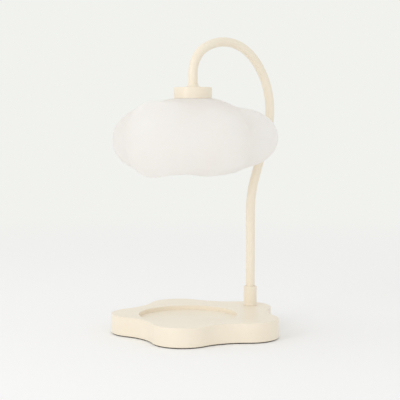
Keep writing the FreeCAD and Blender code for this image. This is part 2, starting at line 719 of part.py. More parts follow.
def draw_stem_path(sketch, foot, head):
    """The middle line of the stem from a foot height to a head height: up, leaning back, over the arch
    and down on the shade axis. The radius of the crown follows from the reach."""
    lean, shoulder, crown = [math.radians(number(w)) for w in ("leanTurn", "shoulderTurn", "crownTurn")]
    rise, over = shoulder - lean, shoulder - lean + crown
    lean_r, shoulder_r, drop_r = [number(w) for w in ("leanRadius", "shoulderRadius", "dropRadius")]
    run = number("leanRun")
    reach = number("stemY - headY") + lean_r * (1 - math.cos(lean)) + run * math.sin(lean)
    reach += shoulder_r * (math.cos(rise) - math.cos(lean)) - drop_r * (1 + math.cos(over))
    crown_r = reach / (math.cos(rise) - math.cos(over))
    heading, spot = 0.0, V(number("stemY"), number(foot), 0)
    pieces = []

    def line(length):
        nonlocal spot
        finish = spot + V(math.sin(heading), math.cos(heading), 0) * length
        pieces.append((sketch.addGeometry(Part.LineSegment(spot, finish), False), 1, 2))
        spot = finish

    def arc(radius, turn):
        nonlocal spot, heading
        side = 1 if turn > 0 else -1
        centre = spot + V(math.cos(heading), -math.sin(heading), 0) * radius * side
        start = math.pi - heading if side > 0 else -heading
        ends = (start - turn, start) if side > 0 else (start, start - turn)
        curve = Part.ArcOfCircle(Part.Circle(centre, V(0, 0, 1), radius), *ends)
        pieces.append((sketch.addGeometry(curve, False), 2, 1) if side > 0 else
                      (sketch.addGeometry(curve, False), 1, 2))
        heading += turn
        spot = curve.StartPoint if side > 0 else curve.EndPoint

    line(number("bendStart") - number(foot))
    arc(lean_r, lean)
    line(run)
    arc(shoulder_r, -shoulder)
    arc(crown_r, -crown)
    arc(drop_r, -(math.pi - over))
    line(spot.y - number(head))

    first, bend, leaning, rising, crowned, dropping, last = [piece[0] for piece in pieces]
    hold_point(sketch, first, 1, "stemY", foot)
    hold(sketch, "Vertical", first)
    hold(sketch, "DistanceY", first, 1, first, 2, size="bendStart - (%s)" % foot)
    for (one, _, finish), (two, start, _) in zip(pieces, pieces[1:]):
        hold(sketch, "Tangent", one, finish, two, start)
    hold(sketch, "Radius", bend, size="leanRadius")
    hold(sketch, "Angle", bend, size="leanTurn")
    hold(sketch, "Distance", leaning, size="leanRun")
    hold(sketch, "Radius", rising, size="shoulderRadius")
    hold(sketch, "Angle", rising, size="shoulderTurn")
    hold(sketch, "Angle", crowned, size="crownTurn")
    hold(sketch, "Radius", dropping, size="dropRadius")
    hold(sketch, "Vertical", last)
    hold_point(sketch, last, 2, "headY", head)
    return len(pieces)


def make_bent(name, label, foot, head, radii):
    """A tube or rod along the stem's middle line."""
    body = new_body(name)
    path = new_sketch(body, "YZ_Plane")
    count = draw_stem_path(path, foot, head)
    section = new_sketch(body, lift=foot)
    for radius in radii:
        draw_circle(section, radius, y="stemY")
    doc.recompute()
    pipe = body.newObject("PartDesign::AdditivePipe", name + "_pipe")
    pipe.Profile = section
    pipe.Spine = (path, ["Edge%d" % (k + 1) for k in range(count)])
    doc.recompute()
    length = sum(edge.Length for edge in path.Shape.Edges)
    area = math.pi * abs(number(radii[0]) ** 2 - (number(radii[1]) ** 2 if len(radii) > 1 else 0))
    if abs(body.Shape.Volume / (area * length) - 1) > 0.01:
        raise RuntimeError("%s has the wrong volume for its length" % label)
    return node(body, label)


def make_collar():
    """Turned collar: a socket for the tube above, and a threaded shank through the base below,
    with a slot across the end of the shank where the stop pin swings."""
    body = new_body("Collar", y="stemY")
    sketch = new_sketch(body, "XZ_Plane")
    bore, socket = "spigotRadius + runClear", "tubeRadius + socketClear"
    draw_outline(sketch, [
        (bore, "shankZ"),
        ("shankRadius", "shankZ"),
        ("shankRadius", "baseTop"),
        ("collarFoot", "baseTop"),
        ("collarFoot", "baseTop + collarFootHigh"),
        ("collarRadius", "baseTop + collarFootHigh + collarEase"),
        ("collarRadius", "collarTop"),
        (socket, "collarTop"),
        (socket, "socketZ"),
        (bore, "socketZ"),
    ])
    turn(body, sketch)
    round_edges(body, level_edge(number("collarTop"), number("collarRadius")), "collarEdge")
    # the slot opens towards -Y, where the pin stands at rest, and reaches a pin's width past the turn
    slot = cylinder("StopSlot", "shankRadius + 1", "stopSlotHigh", y="stemY", z="shankZ",
                    sector="2 * stopTurn * 1deg + 2 * asin((stopPin + runClear) / spigotRadius)")
    slot.setExpression(".Placement.Rotation.Angle",
                       sized("-90deg - stopTurn * 1deg - asin((stopPin + runClear) / spigotRadius)"))
    return node(cut("CollarSlotted", body, [slot]), "stem_collar")


def make_swivel():
    """Spigot, its stop pin, clip and washers, and the nut that holds the collar to the base."""
    slide, low = "spigotRadius", "spigotEnd"
    spigot = turned("Spigot", "swivel_spigot", [
        ("spigotBore", low),
        (slide, low),
        (slide, "clipZ"),
        ("clipGroove", "clipZ"),
        ("clipGroove", "clipZ + clipThick"),
        (slide, "clipZ + clipThick"),
        (slide, "tubeZ"),
        ("tubeRadius - tubeWall - fitClear", "tubeZ"),
        ("tubeRadius - tubeWall - fitClear", "tubeZ + spigotPlug"),
        ("spigotBore", "tubeZ + spigotPlug"),
    ], y="stemY")
    drill = new_sketch(spigot, "XZ_Plane")
    draw_circle(drill, "stopPin + fitClear", y="shankZ + stopSlotHigh / 2")
    pocket(spigot, drill, "spigotRadius + 1", reverse=True)
    turned("ThrustWasher", "thrust_washer",
           ring_points("spigotRadius + washerClear", "tubeRadius + socketClear / 2", "socketZ",
                       "socketZ + thrustThick"), y="stemY")
    turned("FrictionWasher", "friction_washer",
           ring_points("spigotRadius + washerClear", "springRadius", "shankZ - runClear - springThick",
                       "shankZ - runClear"), y="stemY")
    ring = cylinder("ClipRing", "clipRadius", "clipThick", y="stemY", z="clipZ")
    bore = cylinder("ClipBore", "clipGroove + fitClear", "clipThick", y="stemY", z="clipZ")
    mouth = box("ClipMouth", "clipMouth", "clipRadius", "clipThick", y="stemY + clipRadius / 2", z="clipZ")
    node(cut("Clip", ring, [bore, mouth]), "retaining_clip")

    length = "shankRadius - stopShort - spigotBore"
    node(rod("StopPin", "stopPin", length, y="stemY - spigotBore", z="shankZ + stopSlotHigh / 2"), "stop_pin")

    nut = hexagon("StemNutBlank", "stemNutRound", "stemNutHigh", y="stemY", z="stemNutZ")
    thread = cylinder("StemNutBore", "shankRadius + fitClear", "stemNutHigh", y="stemY", z="stemNutZ")
    node(cut("StemNut", nut, [thread]), "collar_nut")
    turned("StemWasher", "collar_washer",
           ring_points("shankRadius + fitClear", "stemWasher", "wiringZ - stemWasherThick", "wiringZ"),
           y="stemY")


# ---- shade cap and lamp holder ----

def make_cap():
    """Painted cap over the neck of the glass, and the flared ferrule on it."""
    bore = "tubeRadius + fitClear"
    inner = "capRadius - capWall"
    body = turned("Cap", "shade_cap", [
        (bore, "capRoof"), (inner, "capRoof"), (inner, "headZ"), ("capRadius", "headZ"),
        ("capRadius", "capTop"), (bore, "capTop"),
    ], y="headY")
    round_edges(body, level_edge(number("capTop"), number("capRadius")), "capEdge")
    turned("Ferrule", "cap_ferrule", [
        (bore, "capTop"), ("flareRadius", "capTop"), ("flareRadius", "capTop + flareRim"),
        (bore + " + flareLip", "capTop + flareHeight"), (bore, "capTop + flareHeight"),
    ], y="headY", bows={2: (-1, "2 * flareHeight")})
    turned("StarWasher", "star_washer", ring_points(bore, "sleeveNeck", "starZ", "capRoof"), y="headY")


def make_holder():
    """Threaded sleeve screwed on the tube end, shade ring and gasket under the glass."""
    bore = "tubeRadius + fitClear"
    inner = "sleeveRadius - sleeveWall"
    sleeve = turned("Sleeve", "holder_sleeve", [
        (bore, "plateZ"), (inner, "plateZ"), (inner, "sleeveZ"), ("sleeveRadius", "sleeveZ"),
        ("sleeveRadius", "neckZ"), ("sleeveNeck", "neckZ"), ("sleeveNeck", "starZ"), (bore, "starZ"),
    ], y="headY")
    holes = new_sketch(sleeve, lift="neckZ")
    for side in ("", "-"):
        draw_circle(holes, "holderScrew + fitClear", y=side + "holderScrewSpread")
    pocket(sleeve, holes, "sleeveTop")
    turned("Gasket", "shade_gasket",
           ring_points("sleeveRadius + ringClear", "gasketRadius", "gasketZ", "gasketZ + gasketThick"),
           y="headY")
    ring = turned("ShadeRing", "shade_ring",
                  ring_points("sleeveRadius + ringClear", "ringRadius", "ringZ", "gasketZ"), y="headY")
    notch = new_sketch(ring, lift="gasketZ")
    draw_circle(notch, "ringGrip", x="ringRadius + ringGrip / 2")
    first = pocket(ring, notch)
    pattern = ring.newObject("PartDesign::PolarPattern", "ShadeRing_grips")
    pattern.Originals = [first]
    pattern.Axis = (next(f for f in ring.Origin.OriginFeatures if f.Role == "Z_Axis"), [""])
    pattern.Angle = 360
    pattern.setExpression("Occurrences", sized("ringGrips"))
    ring.Tip = pattern
    doc.recompute()


def key_slot(k):
    """Tools for one bayonet slot: a curved slot for the shank, and at its freed end a hole for the head."""
    start = 180.0 * k
    width = "(pinRadius + pinClear)"
    outer = cylinder("KeyOuter%d" % k, "pinSpread + " + width, "keyThick", y="headY", z="lampZ",
                     sector="twistTurn")
    outer.setExpression(".Placement.Rotation.Angle", sized("%g - twistTurn" % start))
    inner = cylinder("KeyInner%d" % k, "pinSpread - " + width, "keyThick", y="headY", z="lampZ")
    slot = cut("KeyArc%d" % k, outer, [inner])
    locked = cylinder("KeyLocked%d" % k, width, "keyThick", "pinSpread * cos(%g)" % start, "headY", "lampZ")
    x = "pinSpread * cos(%g - twistTurn)" % start
    y = "headY + pinSpread * sin(%g - twistTurn)" % start
    freed = cylinder("KeyFreed%d" % k, "pinHead + pinClear", "keyThick", x, y, "lampZ")
    return [slot, locked, freed]


def make_socket():
    """Ceramic lamp socket with bayonet slots, a ring channel for the pin heads and a wiring room, its
    two contacts and the two screws that hold it."""
    blank = cylinder("SocketBlank", "sleeveRadius - sleeveWall - socketGap", "socketLong", y="headY",
                     z="lampZ")
    room = cylinder("KeyRoom", "pinSpread + pinHead + 2 * pinClear", "keyRoom", y="headY", z="channelZ")
    post = cylinder("KeyPost", "pinSpread - pinHead - 2 * pinClear", "keyRoom", y="headY", z="channelZ")
    tools = [
        cut("KeyChannel", room, [post]),
        cylinder("SocketWell", "socketWell", "socketWellDeep", y="headY", z="plateZ - socketWellDeep"),
        cylinder("WireRoom", "wireRoom", "wireRoomHigh", y="headY", z="wireZ"),
    ]
    contacts, screws = [], []
    roof = "(channelZ + keyRoom)"
    for k, side in enumerate(("", "-")):
        tools += key_slot(k)
        x = side + "pinSpread"
        leaf = box("ContactLeaf%d" % k, "contactLong", "contactWide", "contactThick", x, "headY",
                   roof + " - contactThick")
        post = cylinder("ContactPost%d" % k, "contactPost", "wireZ + postReach - %s + contactThick" % roof,
                        x, "headY", roof + " - contactThick")
        contacts.append(joined("Contact%d" % k, [leaf, post]))
        tools.append(cylinder("PostHole%d" % k, "contactPost + fitClear", "wireZ - " + roof, x, "headY",
                              roof))

        y = "headY + %sholderScrewSpread" % side
        seat = "lampZ + holderScrewSunk + holderScrew"
        screws.append(screw("HolderScrew%d" % k, "holderScrew", "neckZ - pilotSpare - (%s)" % seat,
                            "0", y, seat))
        tools.append(cylinder("HolderScrewHole%d" % k, "holderScrew + fitClear", "socketLong", "0", y,
                              "lampZ"))
        tools.append(cylinder("HolderScrewBore%d" % k, "holderScrew * panHead + pinClear",
                              "holderScrewSunk + holderScrew", "0", y, "lampZ"))
    node(cut("Socket", blank, tools), "lamp_socket")
    node(group("Contacts", contacts), "socket_contacts")
    node(group("HolderScrews", screws), "socket_screws")


# ---- bulb ----

def make_bulb():
    """Reflector bulb: ceramic base with two headed pins, glass reflector, capsule and front glass."""
    neck, rim, cup = "bulbNeck", "bulbZ + bulbRim", "bulbBaseZ + bulbCup"
    plug = neck + " - bulbWall - fitClear"
    base = turned("BulbBase", "bulb_base", [
        ("0", "bulbBaseZ"), (plug, "bulbBaseZ"), (plug, cup), (neck, cup),
        (neck, "bulbTop - bulbBevel"), (neck + " - bulbBevel", "bulbTop"), ("0", "bulbTop"),
    ], y="headY")
    holes = new_sketch(base, lift="bulbTop")
    for side in ("", "-"):
        draw_circle(holes, "pinRadius + fitClear", x=side + "pinSpread")
    pocket(base, holes, "pinSunk")
    seat = new_sketch(base, lift="bulbBaseZ")
    draw_circle(seat, "capsuleRadius + fitClear")
    pocket(base, seat, "capsuleSunk", reverse=True)

    pins = []
    for k, side in enumerate(("", "-")):
        x = side + "pinSpread"
        shank = cylinder("PinShank%d" % k, "pinRadius", "pinHeadZ - bulbTop + pinSunk", x, "headY",
                         "bulbTop - pinSunk")
        head = cylinder("PinHead%d" % k, "pinHead", "pinHeadHigh", x, "headY", "pinHeadZ")
        pins.append(joined("Pin%d" % k, [shank, head]))
    node(group("Pins", pins), "bulb_pins")

    turned("Reflector", "bulb_reflector", [
        (neck + " - bulbWall", cup), (neck + " - bulbWall", "bulbBaseZ"),
        ("bulbRadius - bulbWall", rim), ("bulbRadius - bulbWall", "bulbZ"),
        ("bulbRadius", "bulbZ"), ("bulbRadius", rim), (neck, "bulbBaseZ"), (neck, cup),
    ], y="headY", bows={1: (-1, "bulbCurve - bulbWall"), 5: (1, "bulbCurve")})
    turned("Lens", "bulb_lens", [
        ("0", "bulbZ + lensInset"), ("bulbRadius - bulbWall - fitClear", "bulbZ + lensInset"),
        ("bulbRadius - bulbWall - fitClear", "bulbZ + lensInset + lensThick"),
        ("0", "bulbZ + lensInset + lensThick"),
    ], y="headY")
    high = "bulbBaseZ + capsuleSunk"
    low = high + " - capsuleLong"
    turned("Capsule", "bulb_capsule", [
        ("0", low), ("capsuleRadius", low + " + capsuleRadius"), ("capsuleRadius", high), ("0", high),
    ], y="headY", bows={0: (1, "capsuleRadius")})


# ---- glass shade ----

RING_POINTS = 48
RING_TOP, RING_LOW = 60.0, -46.0
RINGS = 15


def cloud_point(turn, lift):
    """A point of the outer glass in a direction: a plain rounded form and the puffs, softly blended."""
    flat, up = math.cos(lift), math.sin(lift)
    tall = number_of["glassTop"] if up >= 0 else number_of["glassBelly"]
    power, blend = number_of["glassSquare"], number_of["glassBlend"]
    reaches = [(abs(flat / number_of["glassReach"]) ** power + abs(up / tall) ** power) ** (-1 / power)]
    way = V(flat * math.cos(turn), flat * math.sin(turn), up)
    for k in range(1, len(PUFFS) + 1):
        side, out, wide, high, rise = [number_of["puff%d%s" % (k, word)] for word in PUFF_WORDS]
        side = math.radians(side)
        ray = V(way.x / wide, way.y / wide, way.z / high)
        middle = V(out * math.cos(side) / wide, out * math.sin(side) / wide, rise / high)
        inside = ray.dot(middle) ** 2 - ray.dot(ray) * (middle.dot(middle) - 1)
        reaches.append((ray.dot(middle) + math.copysign(math.sqrt(abs(inside)), inside)) / ray.dot(ray))
    longest = max(reaches)
    return way * (longest + blend * math.log(sum(math.exp((r - longest) / blend) for r in reaches)))


def glass_point(turn, lift):
    """The same point, lifted near the neck so that the glass runs up to its flat seat."""
    spot = cloud_point(turn, lift)
    span = number_of["seatFade"] - number_of["glassSeat"]
    share = min(max((number_of["seatFade"] - math.hypot(spot.x, spot.y)) / span, 0), 1)
    if spot.z > 0:
        spot.z += number_of["seatLift"] * share * share * (3 - 2 * share)
    return spot


def cloud_ring(lift, depth):
    """A closed curve round the form at one lift, a depth below the outer surface."""
    step = 1e-3
    points = []
    for k in range(RING_POINTS):
        turn = 2 * math.pi * k / RING_POINTS
        spot = glass_point(turn, lift)
        if depth:
            along = glass_point(turn + step, lift) - glass_point(turn - step, lift)
            up = glass_point(turn, lift + step) - glass_point(turn, lift - step)
            spot -= along.cross(up).normalize() * depth
        points.append(spot)
    curve = Part.BSplineCurve()
    curve.interpolate(Points=points, PeriodicFlag=True)
    return Part.Wire(curve.toShape())


def level_ring(radius, height):
    """A level circle with the same parting as the other rings."""
    points = [V(radius * math.cos(t), radius * math.sin(t), height)
              for t in (2 * math.pi * k / RING_POINTS for k in range(RING_POINTS))]
    curve = Part.BSplineCurve()
    curve.interpolate(Points=points, PeriodicFlag=True)
    return Part.Wire(curve.toShape())


def make_form(name, depth):
    """The solid inside the glass surface at a depth, closed by a flat at the neck and one below the mouth."""
    seat = number("headZ - glassMiddle")
    rings = [level_ring(number_of["glassSeat"] - depth / 2, seat - depth)]
    for k in range(RINGS):
        lift = RING_TOP + (RING_LOW - RING_TOP) * k / (RINGS - 1)
        rings.append(cloud_ring(math.radians(lift), depth))
    lowest = min(p.Z for p in rings[-1].Vertexes)
    rings.append(level_ring(number_of["mouthRadius"] / 2, lowest - number_of["glassWall"]))
    form = doc.addObject("Part::Feature", name)
    form.Shape = Part.makeLoft(rings, True, False)
    return place(form, y="headY", z="glassMiddle")


def make_shade():
    """Blown glass cloud, open below and with a neck hole for the holder sleeve."""
    outer = make_form("CloudOuter", 0.0)
    inner = make_form("CloudInner", number_of["glassWall"])
    neck = cylinder("NeckHole", "neckRadius", "4 * glassWall", y="headY", z="headZ - 3 * glassWall")
    mouth = cylinder("MouthHole", "mouthRadius", "glassBelly", y="headY",
                     z="glassMiddle - glassBelly - 3 * glassWall")
    return node(cut("Shade", outer, [inner, neck, mouth]), "glass_shade")


# ---- wiring in the base ----

def make_terminal():
    """Terminal block screwed to the roof of the base, with two brass clamps."""
    block = box("TerminalBlank", "terminalWide", "terminalDeep", "roofZ - terminalZ", "0", "terminalY",
                "terminalZ")
    tools, clamps = [], []
    for k, side in enumerate(("", "-")):
        x, z = side + "poleSpread", "terminalZ + poleHeight"
        end = "terminalY + terminalDeep"
        tools.append(rod("PoleBore%d" % k, "poleRadius", "2 * terminalDeep", x, end, z))
        tools.append(cylinder("PoleScrew%d" % k, "clampScrew", "poleHeight", x, "terminalY", "terminalZ"))
        tube = rod("ClampTube%d" % k, "poleRadius - fitClear", "clampLong", x, "terminalY + clampLong / 2", z)
        hole = rod("ClampBore%d" % k, "clampBore", "clampLong", x, "terminalY + clampLong / 2", z)
        clamps.append(cut("Clamp%d" % k, tube, [hole]))
    node(cut("Terminal", block, tools), "terminal_block")
    node(group("Clamps", clamps), "terminal_clamps")


def make_base_lead():
    """Short lead from the foot of the spigot to the terminal block."""
    body = new_body("BaseLead")
    path = new_sketch(body, "YZ_Plane")
    stem, top, bend = number("stemY"), number("spigotEnd"), number("leadBend")
    arc = Part.ArcOfCircle(Part.Circle(V(stem - bend, top, 0), V(0, 0, 1), bend), -math.pi / 2, 0)
    turning = path.addGeometry(arc, False)
    finish = V(number("terminalY + terminalDeep / 2"), top - bend, 0)
    level = path.addGeometry(Part.LineSegment(V(stem - bend, top - bend, 0), finish), False)
    hold_point(path, turning, 2, "stemY", "spigotEnd")
    hold(path, "Radius", turning, size="leadBend")
    hold(path, "Horizontal", turning, 3, turning, 2)
    hold(path, "Tangent", turning, 1, level, 1)
    hold(path, "Horizontal", level)
    hold(path, "DistanceX", -1, 1, level, 2, size="terminalY + terminalDeep / 2")
    section = new_sketch(body, lift="spigotEnd")
    draw_circle(section, "leadRadius", y="stemY")
    doc.recompute()
    pipe = body.newObject("PartDesign::AdditivePipe", "BaseLead_pipe")
    pipe.Profile = section
    pipe.Spine = (path, ["Edge1", "Edge2"])
    doc.recompute()
    return node(body, "base_lead")


number_of = {alias: float(sheet.get(alias)) for alias in ALIASES}

make_base_body()
make_base_cover()
make_foot_pad()
make_counterweight()
make_cover_screws()
make_weight_screws()
make_grommet()
make_terminal()
make_base_lead()
make_collar()
make_swivel()
make_bent("StemTube", "stem_tube", "tubeZ", "headZ + tubeEnd", ["tubeRadius", "tubeRadius - tubeWall"])
make_bent("StemLead", "stem_lead", "spigotEnd", "leadTop", ["leadRadius"])
make_cap()
make_holder()
make_socket()
make_bulb()
make_shade()
doc.recompute()

for thing in doc.Objects:
    if "Invalid" in thing.State or "Error" in thing.State:
        raise RuntimeError("%s did not compute: %s" % (thing.Name, thing.State))
os.makedirs("parts", exist_ok=True)
for thing in nodes:
    if thing.Shape.isNull() or not thing.Shape.isValid():
        raise RuntimeError("%s has a bad shape" % thing.Label)
    thing.Shape.exportStep(os.path.join("parts", thing.Label + ".step"))
    print("%-18s %d solids %10.1f mm3" % (thing.Label, len(thing.Shape.Solids), thing.Shape.Volume))
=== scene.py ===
import math

import bmesh
import bpy
from mathutils import Matrix, Vector


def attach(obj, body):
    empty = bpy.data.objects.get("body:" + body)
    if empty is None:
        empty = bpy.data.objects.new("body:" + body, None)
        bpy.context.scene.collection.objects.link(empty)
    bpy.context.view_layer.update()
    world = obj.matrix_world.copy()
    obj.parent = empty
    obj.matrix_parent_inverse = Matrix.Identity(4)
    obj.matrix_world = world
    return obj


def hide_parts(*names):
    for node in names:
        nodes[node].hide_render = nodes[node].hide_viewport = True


# Candle warmer lamp: a painted flower base with a jar recess, an arched stem and a cloud of
# frosted glass. Sizes are in millimetres in the dictionaries, angles in degrees and colours in
# screen levels from 0 to 255. Sizes become metres where a shape is made.

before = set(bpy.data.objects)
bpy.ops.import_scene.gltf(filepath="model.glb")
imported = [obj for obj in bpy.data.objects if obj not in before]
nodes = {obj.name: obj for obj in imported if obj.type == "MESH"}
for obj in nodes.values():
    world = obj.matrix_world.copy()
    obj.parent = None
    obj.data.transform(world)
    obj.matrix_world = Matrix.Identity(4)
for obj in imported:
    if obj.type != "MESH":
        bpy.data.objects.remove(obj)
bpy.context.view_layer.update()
scene = bpy.context.scene
mm = 0.001
print("frame loaded with", len(nodes), "nodes")

swivelY = 88.5  # the stem stands this far behind the middle of the recess
shadeY = 7.0  # and the shade hangs this far behind it
mergeGap = 0.001  # points closer than this become one
crumb = 0.005  # bits smaller than this are cleaned away after a cut
shallowAngle = 35  # edges that bend less than this are shaded smooth


# camera

camera = {
    "azimuth": 51.0,  # round from the front
    "tilt": 4.23,  # how far it looks down
    "place": (905.7, -716.9, 227.8),
    "lens": 98.7,
    "sensor": 36.0,
    "near": 50.0,
    "far": 50000.0,
}


def addCamera():
    data = bpy.data.cameras.new("camera")
    data.lens = camera["lens"]
    data.sensor_width = camera["sensor"]
    data.clip_start = camera["near"] * mm
    data.clip_end = camera["far"] * mm
    turn, tilt = math.radians(camera["azimuth"]), math.radians(camera["tilt"])
    level = math.cos(tilt)
    look = Vector((-math.sin(turn) * level, math.cos(turn) * level, -math.sin(tilt)))
    item = bpy.data.objects.new("camera", data)
    item.location = Vector(camera["place"]) * mm
    item.rotation_euler = look.to_track_quat("-Z", "Y").to_euler()
    scene.collection.objects.link(item)
    scene.camera = item


addCamera()


# materials

grain = {
    "toneFrom": 0.35,  # noise from here to there takes the colour from dark to light
    "toneTo": 0.65,
    "glossFrom": 0.3,  # and this span takes the roughness from low to high
    "glossTo": 0.7,
    "detail": 3.0,
}


def linear(red, green, blue):  # from a screen colour to the colour that Blender works in
    parts = [part / 255 for part in (red, green, blue)]
    return tuple(part / 12.92 if part < 0.04045 else ((part + 0.055) / 1.055) ** 2.4
                 for part in parts)


def startMaterial(name, colour, roughness, metallic=0.0):
    material = bpy.data.materials.new(name)
    material.use_nodes = True
    tree = material.node_tree
    shader = tree.nodes["Principled BSDF"]
    shader.inputs["Base Color"].default_value = (*linear(*colour), 1)
    shader.inputs["Roughness"].default_value = roughness
    shader.inputs["Metallic"].default_value = metallic
    return material, tree, shader


def addGrain(tree, patch, detail=grain["detail"], stretch=(1, 1, 1)):  # patch is a spot's size
    coords = tree.nodes.new("ShaderNodeTexCoord")
    mapping = tree.nodes.new("ShaderNodeMapping")
    mapping.inputs["Scale"].default_value = stretch
    noise = tree.nodes.new("ShaderNodeTexNoise")
    noise.inputs["Scale"].default_value = 1 / (patch * mm)
    noise.inputs["Detail"].default_value = detail
    tree.links.new(coords.outputs["Object"], mapping.inputs["Vector"])
    tree.links.new(mapping.outputs["Vector"], noise.inputs["Vector"])
    return noise.outputs["Fac"]


def colourBetween(tree, shader, noise, dark, light):
    ramp = tree.nodes.new("ShaderNodeValToRGB")
    places = (grain["toneFrom"], grain["toneTo"])
    for stop, place, colour in zip(ramp.color_ramp.elements, places, (dark, light)):
        stop.position = place
        stop.color = (*linear(*colour), 1)
    tree.links.new(noise, ramp.inputs["Fac"])
    tree.links.new(ramp.outputs["Color"], shader.inputs["Base Color"])
    return ramp


def roughBetween(tree, shader, noise, low, high):
    spread = tree.nodes.new("ShaderNodeMapRange")
    spread.inputs["From Min"].default_value = grain["glossFrom"]
    spread.inputs["From Max"].default_value = grain["glossTo"]
    spread.inputs["To Min"].default_value = low
    spread.inputs["To Max"].default_value = high
    tree.links.new(noise, spread.inputs["Value"])
    tree.links.new(spread.outputs["Result"], shader.inputs["Roughness"])


def bumpFrom(tree, shader, noise, depth, under=None):  # under is a coarser bump to add to
    bump = tree.nodes.new("ShaderNodeBump")
    bump.inputs["Strength"].default_value = 1.0
    bump.inputs["Distance"].default_value = depth * mm
    tree.links.new(noise, bump.inputs["Height"])
    if under:
        tree.links.new(under.outputs["Normal"], bump.inputs["Normal"])
    tree.links.new(bump.outputs["Normal"], shader.inputs["Normal"])
    return bump


creamPaint = {
    "dark": (240, 229, 209),
    "light": (242, 232, 213),
    "patch": 38.0,  # slow change of tone
    "finer": 6,  # the gloss changes this many times faster than the tone
    "peel": 1.6,  # orange peel of the powder coat
    "peelDepth": 0.004,
    "peelDetail": 1.0,
    "grit": 0.45,  # fine satin tooth
    "gritDepth": 0.002,
    "gritDetail": 2.0,
    "roughLow": 0.30,
    "roughHigh": 0.36,
    "gloss": 0.6,
}


def makeCreamPaint():
    values = creamPaint
    material, tree, shader = startMaterial("creamPaint", values["light"], values["roughLow"])
    tone = addGrain(tree, values["patch"])
    colourBetween(tree, shader, tone, values["dark"], values["light"])
    sheen = addGrain(tree, values["patch"] / values["finer"])
    roughBetween(tree, shader, sheen, values["roughLow"], values["roughHigh"])
    peel = addGrain(tree, values["peel"], values["peelDetail"])
    peel = bumpFrom(tree, shader, peel, values["peelDepth"])
    grit = addGrain(tree, values["grit"], values["gritDetail"])
    bumpFrom(tree, shader, grit, values["gritDepth"], peel)
    shader.inputs["Specular IOR Level"].default_value = values["gloss"]
    return material


frostGlass = {
    "dark": (253, 251.4, 250),
    "light": (254, 253.3, 253),
    "patch": 34.0,
    "finer": 5,
    "etch": 0.5,  # tooth of the etched skin
    "etchDepth": 0.006,
    "etchDetail": 2.0,
    "roughLow": 0.48,
    "roughHigh": 0.60,
    "gloss": 0.3,
    "glow": 0.84,  # share of the light that goes through the skin and evens out the shade
}


def makeFrostGlass():
    values = frostGlass
    material, tree, shader = startMaterial("frostGlass", values["light"], values["roughLow"])
    tone = addGrain(tree, values["patch"])
    ramp = colourBetween(tree, shader, tone, values["dark"], values["light"])
    sheen = addGrain(tree, values["patch"] / values["finer"])
    roughBetween(tree, shader, sheen, values["roughLow"], values["roughHigh"])
    etch = addGrain(tree, values["etch"], values["etchDetail"])
    etch = bumpFrom(tree, shader, etch, values["etchDepth"])
    shader.inputs["Specular IOR Level"].default_value = values["gloss"]
    through = tree.nodes.new("ShaderNodeBsdfTranslucent")
    tree.links.new(ramp.outputs["Color"], through.inputs["Color"])
    tree.links.new(etch.outputs["Normal"], through.inputs["Normal"])
    mix = tree.nodes.new("ShaderNodeMixShader")
    mix.inputs["Fac"].default_value = values["glow"]
    tree.links.new(shader.outputs["BSDF"], mix.inputs[1])
    tree.links.new(through.outputs["BSDF"], mix.inputs[2])
    tree.links.new(mix.outputs["Shader"], tree.nodes["Material Output"].inputs["Surface"])
    return material


clearGlass = {
    "colour": (250, 252, 252),
    "rough": 0.04,
    "bending": 1.47,
    "wave": 4.0,  # slight waves of pressed glass
    "waveDepth": 0.02,
}


def makeClearGlass():
    values = clearGlass
    material, tree, shader = startMaterial("clearGlass", values["colour"], values["rough"])
    shader.inputs["Transmission Weight"].default_value = 1.0
    shader.inputs["IOR"].default_value = values["bending"]
    bumpFrom(tree, shader, addGrain(tree, values["wave"]), values["waveDepth"])
    return material


plain = {  # what a finish below doesn't say
    "metallic": 0.0,
    "stretch": (1, 1, 1),  # how much finer the grain is along each axis
    "depth": 0.005,  # of the bump
    "detail": 4.0,
}
plainFinishes = {  # rough is the lowest and the highest roughness
    "darkFoam": {"dark": (70, 64, 56), "light": (96, 88, 78), "patch": 0.7,
                 "rough": (0.85, 0.95), "depth": 0.08},
    "zincPlate": {"dark": (168, 172, 176), "light": (198, 200, 203), "patch": 6.0,
                  "rough": (0.28, 0.42), "metallic": 1.0, "stretch": (1, 6, 1)},
    "blackCasting": {"dark": (42, 42, 44), "light": (62, 62, 64), "patch": 2.2,
                     "rough": (0.55, 0.75), "metallic": 0.6, "depth": 0.06},
    "turnedBrass": {"dark": (190, 150, 86), "light": (216, 180, 112), "patch": 1.4,
                    "rough": (0.22, 0.36), "metallic": 1.0, "stretch": (1, 1, 9)},
    "springSteel": {"dark": (118, 120, 124), "light": (150, 152, 156), "patch": 2.0,
                    "rough": (0.25, 0.40), "metallic": 1.0, "stretch": (5, 1, 1)},
    "blackRubber": {"dark": (26, 26, 27), "light": (38, 38, 39), "patch": 1.2,
                    "rough": (0.60, 0.75), "depth": 0.02},
    "paleSilicone": {"dark": (214, 212, 205), "light": (228, 226, 220), "patch": 3.0,
                     "rough": (0.50, 0.62)},
    "whiteCeramic": {"dark": (226, 223, 214), "light": (240, 238, 231), "patch": 3.5,
                     "rough": (0.38, 0.58), "depth": 0.02},
    "paleMoulding": {"dark": (222, 216, 203), "light": (234, 229, 217), "patch": 5.0,
                     "rough": (0.42, 0.52)},
    "naturalNylon": {"dark": (222, 222, 216), "light": (236, 236, 231), "patch": 4.0,
                     "rough": (0.40, 0.50)},
    "mirrorCoat": {"dark": (212, 214, 218), "light": (226, 228, 232), "patch": 9.0,
                   "rough": (0.06, 0.12), "metallic": 1.0},
}


